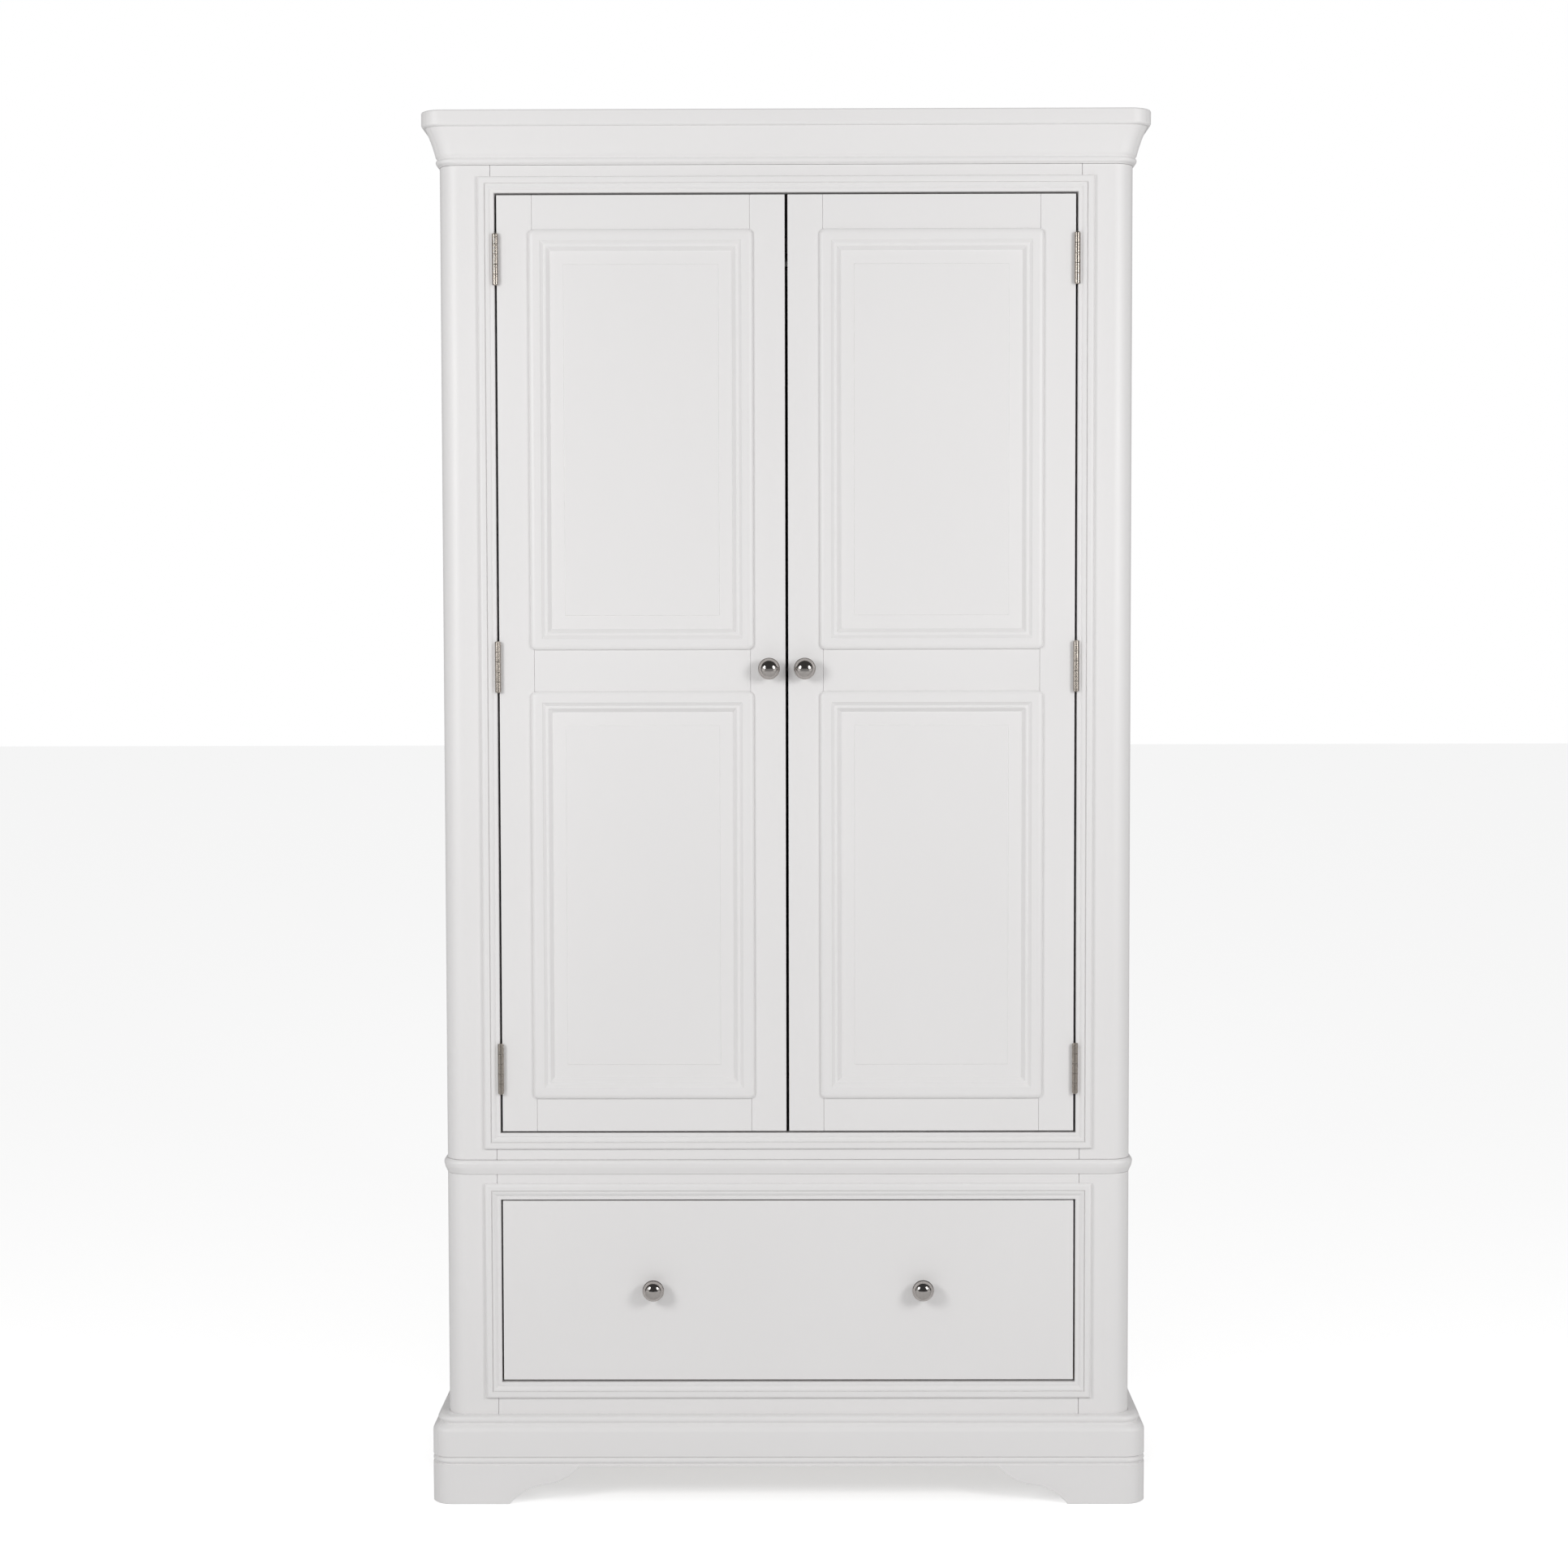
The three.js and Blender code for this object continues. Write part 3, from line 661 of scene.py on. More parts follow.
@dataclass
class BodyLine:
    """The carcass's outline in plan, which posts, cornice, bead board and plinth all follow."""

    half_width: float = field(init=False)
    front: float = field(init=False)
    back: float = field(init=False)
    radius: float = 29 * MM
    corner_steps: int = 10
    mitre_slack: float = 0.18

    def __post_init__(self) -> None:
        """Reads the carcass's limits from the frame."""
        post = Block.of("upper_post_front_right")
        self.half_width = post.high.x
        self.front = post.low.y
        self.back = Block.of("upper_side_right").high.y

    @property
    def corner(self) -> Vector:
        """The centre of the right front corner's arcs."""
        return Vector((self.half_width - self.radius, self.front + self.radius, 0))

    def stations(self, start: float, end: float) -> list[Vector]:
        """Steps round the right front corner, whose radius is the same at every overhang.

        Args:
            start: first heading in degrees, 0 facing the front and 90 facing the side.
            end: last heading in degrees.

        Returns:
            The move from each heading to the next.
        """
        steps = self.corner_steps
        headings = [math.radians(start + (end - start) * i / steps) for i in range(steps + 1)]
        places = [Vector((math.sin(h), -math.cos(h), 0)) * self.radius for h in headings]
        return [after - before for before, after in zip(places, places[1:])]

    def round_corner(self, bm: bmesh.types.BMesh, rim: list[bmesh.types.BMEdge], start: float,
                     end: float) -> None:
        """Pulls an end round the corner to the mitre and closes it there.

        Args:
            bm: the mesh under construction.
            rim: the open end's edges.
            start: the end's heading in degrees.
            end: the mitre's heading in degrees.
        """
        for move in self.stations(start, end):
            verts, rim = pull(bm, rim)
            bmesh.ops.translate(bm, vec=move, verts=verts)
        bmesh.ops.contextual_create(bm, geom=rim)

    def wrap_front(self, bm: bmesh.types.BMesh, section: Section, base: float) -> None:
        """A moulding across the front, round both corners to their mitres.

        Args:
            bm: the mesh under construction.
            section: points as millimetres of overhang and of height.
            base: the height that the section counts from.
        """
        rim = chain(bm, (Vector((0, self.front - o * MM, base + h * MM)) for o, h in section))
        verts, rim = pull(bm, rim)
        for vert in verts:
            vert.co.x = self.corner.x + self.front - vert.co.y
        self.round_corner(bm, rim, 0, 45 - self.mitre_slack)
        whole = bm.verts[:] + bm.edges[:] + bm.faces[:]
        bmesh.ops.mirror(bm, geom=whole, matrix=Matrix.Identity(4), merge_dist=TOUCH, axis="X")

    def wrap_side(self, bm: bmesh.types.BMesh, section: Section, base: float, side: Side) -> None:
        """A moulding along one side, from the corner's mitre to the back.

        Args:
            bm: the mesh under construction.
            section: points as millimetres of overhang and of height.
            base: the height that the section counts from.
            side: which side it is on.
        """
        outline = (Vector((self.half_width + o * MM, self.back, base + h * MM)) for o, h in section)
        rim = chain(bm, outline)
        bmesh.ops.contextual_create(bm, geom=rim)
        verts, rim = pull(bm, rim)
        for vert in verts:
            vert.co.y = self.corner.y - (vert.co.x - self.half_width)
        self.round_corner(bm, rim, 90, 45 + self.mitre_slack)
        bmesh.ops.scale(bm, vec=(side.value, 1, 1), verts=bm.verts)


@dataclass
class Carcass:
    """Posts, sides, rails and inner boards of both units."""

    line: BodyLine
    edge: float = 0.8 * MM
    board_edge: float = 0.9 * MM
    corner_steps: int = 14

    def post(self, node: str) -> None:
        """A front post with its outer corner rounded to the body line.

        Args:
            node: the frame's node that it stands for.
        """
        block = Block.of(node)
        bm = bmesh.new()
        new_block(bm, block)
        outer = block.high.x if block.middle.x > 0 else block.low.x
        corner = [
            e for e in bm.edges
            if all(abs(v.co.x - outer) < TOUCH and abs(v.co.y - block.low.y) < TOUCH for v in e.verts)
        ]
        bevel(bm, corner, self.line.radius, self.corner_steps)
        bevel(bm, sharp_edges(bm), self.board_edge)
        painted(bm, node, "turned", Run.UP)

    def rail(self, node: str) -> None:
        """A plain rail with softened edges.

        Args:
            node: the frame's node that it stands for.
        """
        bm = bmesh.new()
        new_block(bm, Block.of(node))
        bevel(bm, sharp_edges(bm), self.board_edge)
        painted(bm, node, "board", Run.ACROSS)

    def build(self) -> None:
        """Makes the posts and rails and dresses the boards that keep their shape."""
        for unit in ("base", "upper"):
            for side in Side:
                self.post(f"{unit}_post_front_{side.word}")
                dress(f"{unit}_side_{side.word}", PAINT.material(Run.UP), self.edge)
            self.rail(f"{unit}_rail_bottom")
            self.rail(f"{unit}_rail_top")
            dress(f"{unit}_back_panel", INNER_PAINT.material(Run.UP), self.edge)
        for name in ("upper_floor_board", "upper_ceiling_board"):
            dress(name, INNER_PAINT.material(Run.ACROSS), self.edge)
        dress("cornice_back", PAINT.material(Run.ACROSS), self.edge)


@dataclass
class Plinth:
    """The moulded plinth with bracket feet."""

    line: BodyLine
    overhang: float = field(init=False)
    height: float = field(init=False)
    foot_width: float = 111.0
    arch: float = 54.0
    shoulder_run: float = 53.0
    shoulder_rise: float = 28.5
    ogee_run: float = 99.5
    shoulder_depth: float = 21.5
    bead_tuck: float = 6.5
    cutter_reach: float = 80.0
    cut_edge: float = 0.7 * MM

    def __post_init__(self) -> None:
        """Reads the plinth's limits from the frame."""
        block = Block.of("plinth_front")
        self.overhang = (self.line.front - block.low.y) / MM
        self.height = block.high.z / MM

    def section(self) -> Section:
        """Board, flush bead in two quirks, a soft shoulder, and a rounded bead along the set-back top."""
        face, top = self.overhang, self.height
        shoulder, bead = top - self.shoulder_depth, face - self.bead_tuck
        return [
            (0.3, 0.0), (face - 1.0, 0.0), (face, 1.0), (face, 55.6), (face - 0.5, 56.2),
            (face - 1.9, 56.6), (face - 2.0, 57.4), *arc(face - 4.6, 62.0, 4.6, -62, 62, 8),
            (face - 2.0, 66.6), (face - 1.9, 67.4), (face - 0.5, 67.8), (face, 68.4),
            (face, shoulder), (face - 0.3, shoulder + 2.2),
            (face - 1.2, shoulder + 4.4), (face - 2.6, shoulder + 6.4), (face - 4.4, shoulder + 8.2),
            (bead, shoulder + 9.6), (bead - 1.8, shoulder + 10.3), (bead - 2.0, shoulder + 11.4),
            *arc(bead - 5.0, top - 5.0, 5.0, -52, 90, 10), (bead - 8.6, top - 0.3), (0.3, top),
        ]

    def arch_cutter(self, half_span: float) -> bmesh.types.BMesh:
        """The shape between two feet, in the front plane round x = 0.

        Args:
            half_span: half the distance between the feet on the floor, in millimetres.

        Returns:
            A closed solid.
        """
        half = [(half_span, -8.0), (half_span, 0.0)]
        shoulder = half_span - self.shoulder_run
        crown = half_span - self.ogee_run
        rise = self.shoulder_rise
        hollow = (half_span - 0.42 * self.shoulder_run, 0.92 * rise)
        half += self.sweep((half_span, 0), hollow, (shoulder, rise))
        half += self.sweep((shoulder, rise), ((shoulder + crown) / 2, rise + 2), (crown, self.arch))
        outline = half + [(-x, z) for x, z in reversed(half)]
        bm = bmesh.new()
        reach = self.cutter_reach
        points = (Vector((x * MM, -reach * MM, z * MM)) for x, z in outline)
        slab(bm, points, Vector((0, 2 * reach * MM, 0)))
        return bm

    @staticmethod
    def sweep(start: tuple, control: tuple, end: tuple, steps: int = 10) -> list[tuple[float, float]]:
        """Points on a quadratic curve after its start.

        Args:
            start: where the curve leaves.
            control: the point that bends it.
            end: where it arrives.
            steps: pieces of the curve.

        Returns:
            The points, the end included.
        """
        points = []
        for i in range(1, steps + 1):
            t = i / steps
            weights = ((1 - t) ** 2, 2 * t * (1 - t), t * t)
            pulls = list(zip(weights, (start, control, end)))
            points.append(tuple(sum(w * p[k] for w, p in pulls) for k in (0, 1)))
        return points

    def build(self) -> None:
        """Makes the front and both sides and cuts their arches."""
        line = self.line
        bm = bmesh.new()
        line.wrap_front(bm, self.section(), 0.0)
        front = painted(bm, "plinth_front", "board", Run.ACROSS)
        cutter = self.arch_cutter(line.half_width / MM + self.overhang - self.foot_width)
        bmesh.ops.translate(cutter, vec=(0, line.front, 0), verts=cutter.verts)
        self.cut(front, cutter)
        depth = (line.back - line.front) / MM + self.overhang
        middle = (line.back + line.front - self.overhang * MM) / 2
        quarter = Matrix.Rotation(math.pi / 2, 3, "Z")
        for side in Side:
            bm = bmesh.new()
            line.wrap_side(bm, self.section(), 0.0, side)
            piece = painted(bm, f"plinth_side_{side.word}", "board", Run.DEPTH)
            cutter = self.arch_cutter(depth / 2 - self.foot_width)
            bmesh.ops.rotate(cutter, cent=(0, 0, 0), matrix=quarter, verts=cutter.verts)
            place = (side.value * line.half_width, middle, 0)
            bmesh.ops.translate(cutter, vec=place, verts=cutter.verts)
            self.cut(piece, cutter)

    def cut(self, obj: bpy.types.Object, cutter: bmesh.types.BMesh) -> None:
        """Cuts an arch and rounds its cut edges a little.

        Args:
            obj: the length of plinth.
            cutter: the arch.
        """
        carve(obj, cutter)
        soften(obj, self.cut_edge, 60.0)
        obj.modifiers.move(len(obj.modifiers) - 1, 0)


@dataclass
class Cornice:
    """The coved cornice, in a front and two returns."""

    line: BodyLine
    wall: float = 18.0
    fillet: float = 13.0
    fillet_overhang: float = 5.0
    cove_start: float = 5.0
    cove_end: float = 17.4
    cove_hollow: float = 1.0
    cove_steps: int = 12
    cap: float = 23.0
    overhang: float = field(init=False)
    base: float = field(init=False)
    height: float = field(init=False)

    def __post_init__(self) -> None:
        """Reads the cornice's limits from the frame."""
        block = Block.of("cornice_front")
        self.overhang = (self.line.front - block.low.y) / MM
        self.base = block.low.z
        self.height = block.size.z / MM

    def section(self) -> Section:
        """Lower fillet, cove and cap, from the inside edge round the front."""
        cove_top = self.height - self.cap
        cove = []
        for i in range(self.cove_steps + 1):
            t = i / self.cove_steps
            out = self.cove_start + (self.cove_end - self.cove_start) * t
            hollow = self.cove_hollow * 4 * t * (1 - t)
            cove.append((out - hollow, self.fillet + (cove_top - self.fillet) * t))
        bead = self.fillet_overhang
        root = self.cove_end + 0.4
        reach = self.overhang - self.cove_end - 0.4
        turns = [math.radians(15 * i) for i in range(7)]
        nose = [(root + reach * math.sin(a), cove_top + 5.2 - 4.6 * math.cos(a)) for a in turns]
        return [
            (-self.wall, 0.0), (0.4, 0.0), (0.4, 0.6), (bead - 3.6, 1.2),
            *arc(bead - 4.6, 5.8, 4.6, -62, 55, 9),
            (bead - 1.6, self.fillet - 2.6), (bead - 1.2, self.fillet - 1.2), *cove, *nose,
            *arc(self.overhang - 2.4, self.height - 2.4, 2.4, 0, 90, 5), (-self.wall, self.height),
        ]

    def build(self) -> None:
        """Makes the three lengths."""
        bm = bmesh.new()
        self.line.wrap_front(bm, self.section(), self.base)
        painted(bm, "cornice_front", "moulding", Run.ACROSS)
        for side in Side:
            bm = bmesh.new()
            self.line.wrap_side(bm, self.section(), self.base, side)
            painted(bm, f"cornice_side_{side.word}", "moulding", Run.DEPTH)


@dataclass
class BeadBoard:
    """The board between the units, with a nose that rounds over the top and tapers below."""

    line: BodyLine
    top_round: float = 5.0
    waist_round: float = 4.0
    taper: float = 11.0
    tuck: float = 4.2
    corner_steps: int = 14

    def build(self) -> None:
        """Makes the board from a block with rounded corners and a shaped nose."""
        block = Block.of("base_bead_board")
        radius = self.line.radius + block.high.x - self.line.half_width
        bm = bmesh.new()
        new_block(bm, block)
        corners = [e for e in bm.edges if abs(e.verts[0].co.z - e.verts[1].co.z) > NEAR
                   and all(v.co.y < block.middle.y for v in e.verts)]
        bevel(bm, corners, radius, self.corner_steps)
        middle = block.low.z + self.taper * MM
        whole = bm.verts[:] + bm.edges[:] + bm.faces[:]
        bmesh.ops.bisect_plane(bm, geom=whole, plane_co=(0, 0, middle), plane_no=(0, 0, 1))
        lower = [v for v in bm.verts if v.co.z < block.low.z + TOUCH]
        wide, deep = block.size.x, block.size.y
        tuck = self.tuck * MM
        shrink = ((wide - 2 * tuck) / wide, (deep - tuck) / deep, 1)
        bmesh.ops.scale(bm, vec=shrink, space=Matrix.Translation((0, -block.high.y, 0)), verts=lower)
        rims = [e for e in bm.edges if all(v.co.z > block.high.z - TOUCH for v in e.verts)
                and len(e.link_faces) == 2 and e.calc_face_angle(0.0) > 1.0
                and not all(v.co.y > block.high.y - NEAR for v in e.verts)]
        bevel(bm, rims, self.top_round * MM, 6)
        waist = [e for e in bm.edges if all(abs(v.co.z - middle) < TOUCH for v in e.verts)
                 and not all(v.co.y > block.high.y - NEAR for v in e.verts)]
        bevel(bm, waist, self.waist_round * MM, 5)
        painted(bm, "base_bead_board", "rounded", Run.ACROSS)


@dataclass
class Surround:
    """The moulding round the doors or the drawer, with its lining in the opening."""

    node: str
    width: float = 23.0
    lining: float = 5.2
    depth: float = 18.0

    def opening(self) -> Block:
        """The clear opening, with its face on the carcass's front."""
        block = Block.of(self.node)
        inset = Vector((self.width * MM, 0, self.width * MM))
        low, high = block.low + inset, block.high - inset
        low.y = high.y - self.depth * MM
        return Block(low, high)

    def section(self) -> Section:
        """Lining edge, slope rising from the opening, quirk, flat and falling ovolo."""
        shares = [i / 5 for i in range(6)]
        turns = [math.radians(15 * i) for i in range(7)]
        rise = [(5.7 + 5.6 * t, 2.3 + 2.7 * math.sin(0.5 * math.pi * t)) for t in shares]
        fall = [(18.4 + 4.4 * math.sin(a), 1.7 + 3.9 * math.cos(a)) for a in turns]
        return [
            (0.0, -self.depth), (0.0, 1.0), *arc(1.2, 1.2, 1.2, 180, 90, 3), (4.6, 2.4), (5.0, 1.9),
            (5.3, 1.9), *rise, (11.9, 4.9), (12.2, 3.7), (13.0, 3.7), (13.3, 4.9),
            *arc(14.0, 4.9, 0.7, 180, 90, 2), *fall, (self.width, 1.2), (self.width, 0.15),
            (self.lining, 0.15), (self.lining, -self.depth),
        ]

    def build(self, notches: Iterable[tuple[Vector, float]] = (), radius: float = 4.7 * MM) -> None:
        """Makes the ring and cuts it round the hinge knuckles.

        Args:
            notches: the centre and length of each hinge barrel.
            radius: the notch's radius.
        """
        bm = bmesh.new()
        opening = self.opening()
        mitred_ring(bm, self.section(), opening)
        lay_across(bm, opening)
        piece = Piece(self.node + "_moulding", "carcass", "paint", PAINT.material(Run.UP), [self.node],
                      second=PAINT.material(Run.ACROSS)).make(bm)
        cutter = bmesh.new()
        for centre, length in notches:
            bmesh.ops.create_cone(cutter, cap_ends=True, segments=32, radius1=radius, radius2=radius,
                                  depth=length + 1.0 * MM, matrix=Matrix.Translation(centre))
        if cutter.verts:
            carve(piece, cutter)


# ---- Fittings ----------------------------------------------------------------------------


@dataclass
class Knob:
    """A turned metal knob: a small base, a neck, a stepped rim and a domed head."""

    node: str
    body: str
    seat: float = 0.1

    def section(self) -> Section:
        """Half the knob's outline, from the seat to the crown."""
        flare = [3.6 * ((i - 3) / 7) ** 2 * (1 if i > 3 else 0.25) for i in range(9)]
        neck = [(5.1 + more, 4.2 + i * 0.86) for i, more in enumerate(flare)]
        turns = [math.radians(90 * i / 14) for i in range(1, 14)]
        dome = [(13.6 * math.cos(a), 19.2 + 9.6 * math.sin(a)) for a in turns]
        return [
            (0.0, 0.0), (8.2, 0.0), *arc(8.2, 0.6, 0.6, -90, 60, 4), (7.2, 2.0), (6.6, 2.2), (6.0, 3.4),
            *neck, (10.6, 12.6), (13.2, 13.9), (14.8, 15.2), *arc(14.5, 16.6, 0.8, -40, 60, 4),
            (14.3, 17.8), (13.9, 18.4), (13.8, 19.2), *dome, (0.0, 28.8),
        ]

    def build(self) -> None:
        """Makes the knob where the frame has it."""
        block = Block.of(self.node)
        foot = Vector((block.middle.x, block.high.y + (0.3 - self.seat) * MM, block.middle.z))
        bm = bmesh.new()
        lathe(bm, self.section(), foot, Vector((0, -1, 0)))
        name = self.node + "_turned"
        Piece(name, self.body, "knob_nickel", KNOB_NICKEL.material(), [self.node], 50.0).make(bm)


@dataclass
class Screw:
    """A countersunk screw's head with a small round socket, flush in a leaf or board."""

    radius: float = 2.7 * MM
    proud: float = 0.12 * MM
    socket: float = 0.35 * MM

    def add(self, bm: bmesh.types.BMesh, centre: Vector, out: Vector) -> None:
        """Adds the head and its socket.

        Args:
            bm: the mesh under construction.
            centre: the middle of the head on the surface.
            out: the surface's outward direction.
        """
        turned = out.to_track_quat("Z", "Y").to_matrix().to_4x4()
        place = Matrix.Translation(centre + out * self.proud / 2) @ turned
        made = bmesh.ops.create_cone(bm, cap_ends=True, segments=16, radius1=self.radius,
                                     radius2=self.radius * 0.93, depth=self.proud, matrix=place)
        caps = (f for v in made["verts"] for f in v.link_faces)
        top = max(caps, key=lambda f: f.calc_center_median().dot(out))
        bmesh.ops.inset_region(bm, faces=[top], thickness=self.radius * 0.55, depth=0.0)
        bmesh.ops.inset_region(bm, faces=[top], thickness=self.radius * 0.08, depth=-self.socket)


@dataclass
class Hinge:
    """A butt hinge: two leaves with rolled knuckles on a pin, and their screws."""

    place: str
    side: Side
    knuckles: int = 5
    radius: float = 4.0 * MM
    leaf: float = 1.2 * MM
    slit: float = 0.3 * MM
    leaf_depth: float = 18 * MM

    def node(self, which: str) -> str:
        """The frame's node for one of the leaves."""
        return f"hinge_{which}_leaf_{self.place}_{self.side.word}"

    def block(self, which: str) -> Block:
        """The limits of one leaf with its knuckles."""
        return Block.of(self.node(which))

    def barrel(self) -> tuple[Vector, float]:
        """The pin's middle and the barrel's length."""
        block = self.block("frame")
        centre = Vector((block.middle.x, block.low.y + self.radius, block.middle.z))
        return centre, block.size.z

    def half(self, which: str, parity: int, inner: float) -> None:
        """Makes one leaf with its own knuckles.

        Args:
            which: "frame" or "door".
            parity: 0 for the end knuckles, 1 for those between them.
            inner: the leaf's face nearest to the wardrobe's middle, from the pin, outward positive.
        """
        centre, length = self.barrel()
        block = self.block(which)
        sign = self.side.value
        plate = sorted((centre.x + sign * inner, centre.x + sign * (inner + self.leaf)))
        rear = centre.y + self.radius
        bm = bmesh.new()
        step = length / self.knuckles
        for i in range(parity, self.knuckles, 2):
            middle = centre + Vector((0, 0, (i + 0.5) * step - length / 2))
            made = bmesh.ops.create_cone(bm, cap_ends=True, segments=28, radius1=self.radius,
                                         radius2=self.radius, depth=step - self.slit,
                                         matrix=Matrix.Translation(middle))
            rims = {e for v in made["verts"] for e in v.link_edges if e.calc_face_angle(0.0) > 1.0}
            bevel(bm, rims, 0.35 * MM, 2)
            low = Vector((plate[0], centre.y, middle.z - step / 2 + self.slit / 2))
            high = Vector((plate[1], rear + 1.5 * MM, middle.z + step / 2 - self.slit / 2))
            new_block(bm, Block(low, high))
        low = Vector((plate[0], rear + 0.8 * MM, block.low.z))
        made = new_block(bm, Block(low, Vector((plate[1], block.high.y, block.high.z))))
        bevel(bm, {e for v in made for e in v.link_edges}, 0.15 * MM, 1)
        if parity == 0:
            tip = [(0, -2), (3.0, -2), (3.0, 0.4), (2.6, 1.0), (1.4, 1.4), (0, 1.5)]
            for end in (-1, 1):
                foot = centre + Vector((0, 0, end * (length / 2)))
                lathe(bm, tip, foot, Vector((0, 0, end)), 20)
        name = self.node(which)
        body = "carcass" if which == "frame" else f"{self.side.word}_door"
        Piece(name + "_plate", body, "hinge_nickel", HINGE_NICKEL.material(), [name], 40.0).make(bm)
        self.screws(which, plate, block, body)

    def screws(self, which: str, plate: Sequence[float], block: Block, body: str) -> None:
        """Three screws in the leaf's open face.

        Args:
            which: "frame" or "door".
            plate: the leaf's two x limits.
            block: the leaf's limits.
            body: the body it rides on.
        """
        sign = self.side.value
        inward = which == "frame"
        face = plate[0] if (sign > 0) == inward else plate[1]
        out = Vector((-sign if inward else sign, 0, 0))
        bm = bmesh.new()
        for share, depth in ((0.14, 0.66), (0.5, 0.44), (0.86, 0.66)):
            y = block.high.y - (1 - depth) * self.leaf_depth
            Screw().add(bm, Vector((face, y, block.low.z + share * block.size.z)), out)
        Piece(self.node(which) + "_screws", body, "hinge_nickel", SCREW_STEEL.material(), (), 30.0).make(bm)

    def build(self) -> None:
        """Makes both leaves."""
        self.half("frame", 0, 0.2 * MM)
        self.half("door", 1, -1.4 * MM)


# ---- Doors -------------------------------------------------------------------------------


@dataclass
class Door:
    """A frame-and-panel door: stiles, rails, raised panels and planted mouldings."""

    side: Side
    moulding: float = 24.0
    lap: float = 4.5
    inner_slope: float = 5.6
    crest: float = 5.8
    turn_out: float = 16.4
    panel_depth: float = 4.0
    field_depth: float = 1.0
    field_step: float = 0.8
    bevel_width: float = 24.0
    edge: float = 0.6
    groove: float = 7.7
    hair: float = 0.2

    @property
    def body(self) -> str:
        """The frame's body that the door is."""
        return f"{self.side.word}_door"

    def openings(self) -> dict[str, Block]:
        """The clear openings of the upper and lower panels, on the door's face."""
        frame_block = Block.of(f"door_frame_{self.side.word}")
        found = {}
        for place in ("upper", "lower"):
            block = Block.of(f"door_panel_{place}_{self.side.word}")
            reach = Vector((self.groove * MM, 0, self.groove * MM))
            low, high = block.low + reach, block.high - reach
            low.y, high.y = frame_block.low.y, frame_block.high.y
            found[place] = Block(low, high)
        return found

    def plank(self, name: str, low: Sequence[float], high: Sequence[float], run: Run,
              stands_for: Sequence[str]) -> None:
        """One stile or rail.

        Args:
            name: the piece's name.
            low: its lowest corner.
            high: its highest corner.
            run: the way its grain runs.
            stands_for: the frame's nodes that it replaces.
        """
        bm = bmesh.new()
        new_block(bm, Block(Vector(low), Vector(high)))
        bevel(bm, sharp_edges(bm), self.edge * MM)
        full = f"door_{name}_{self.side.word}"
        Piece(full, self.body, "paint", PAINT.material(run), stands_for).make(bm)

    def planks(self) -> None:
        """Makes the two stiles and three rails."""
        node = f"door_frame_{self.side.word}"
        whole = Block.of(node)
        upper, lower = self.openings()["upper"], self.openings()["lower"]
        y0, y1 = whole.low.y, whole.high.y
        hair = self.hair * MM
        sides = [(whole.low.x, upper.low.x), (upper.high.x, whole.high.x)]
        if self.side is Side.LEFT:
            sides.reverse()
        for name, (x0, x1) in zip(("lock_stile", "hanging_stile"), sides):
            stands_for = [node] if name == "lock_stile" else ()
            self.plank(name, (x0, y0, whole.low.z), (x1, y1, whole.high.z), Run.UP, stands_for)
        heights = {
            "rail_top": (upper.high.z, whole.high.z),
            "rail_middle": (lower.high.z, upper.low.z),
            "rail_bottom": (whole.low.z, lower.low.z),
        }
        for name, (z0, z1) in heights.items():
            low, high = (upper.low.x + hair, y0, z0), (upper.high.x - hair, y1, z1)
            self.plank(name, low, high, Run.ACROSS, ())

    def panel(self, place: str, opening: Block) -> None:
        """A raised and fielded panel.

        Args:
            place: "upper" or "lower".
            opening: the clear opening that it fills.
        """
        node = f"door_panel_{place}_{self.side.word}"
        inset = (self.moulding - self.lap) * MM
        low = opening.low + Vector((0, self.panel_depth * MM, 0))
        high = Vector((opening.high.x, Block.of(node).high.y, opening.high.z))
        bm = bmesh.new()
        new_block(bm, Block(low, high))
        front = min(bm.faces, key=lambda f: f.calc_center_median().y)
        rise = self.panel_depth - self.field_depth - self.field_step
        steps = ((inset, 0.0), (self.bevel_width * MM, rise), (0.5 * MM, self.field_step))
        for thickness, lift in steps:
            bmesh.ops.inset_region(bm, faces=[front], thickness=thickness, depth=0.0, use_even_offset=True)
            bmesh.ops.translate(bm, vec=(0, -lift * MM, 0), verts=front.verts)
        bevel(bm, front.edges, 0.5 * MM)
        Piece(node + "_raised", self.body, "paint", PAINT.material(Run.UP), [node], 20.0).make(bm)

    def inner_section(self) -> Section:
        """The moulding's mitred part: slope up from the panel, inner bead, slope to the crest."""
        foot = 0.05 - self.panel_depth
        crest = self.crest
        back = self.moulding - self.lap + 0.3
        return [
            (-self.inner_slope, foot), (-self.inner_slope, foot + 0.3), (-0.9, 1.4),
            *arc(0.6, 1.1, 1.1, 150, 80, 3), (3.0, 2.2), (3.4, 2.0), (3.8, 2.2), (7.4, crest - 1.0),
            *arc(8.6, crest - 1.0, 1.0, 150, 90, 3), (self.turn_out + 0.2, crest), (back, 0.1),
            (back, foot),
        ]

    def outer_section(self) -> Section:
        """The moulding's outer edge, whose corners are rounded: an ovolo falling to the frame."""
        start, width = self.turn_out, self.moulding - self.turn_out
        turns = [math.radians(11.25 * i) for i in range(9)]
        drop = self.crest - 1.0
        ovolo = [(start + width * math.sin(a), 1.0 + drop * math.cos(a)) for a in turns]
        return [(start, 0.1), *ovolo, (self.moulding, 0.1)]

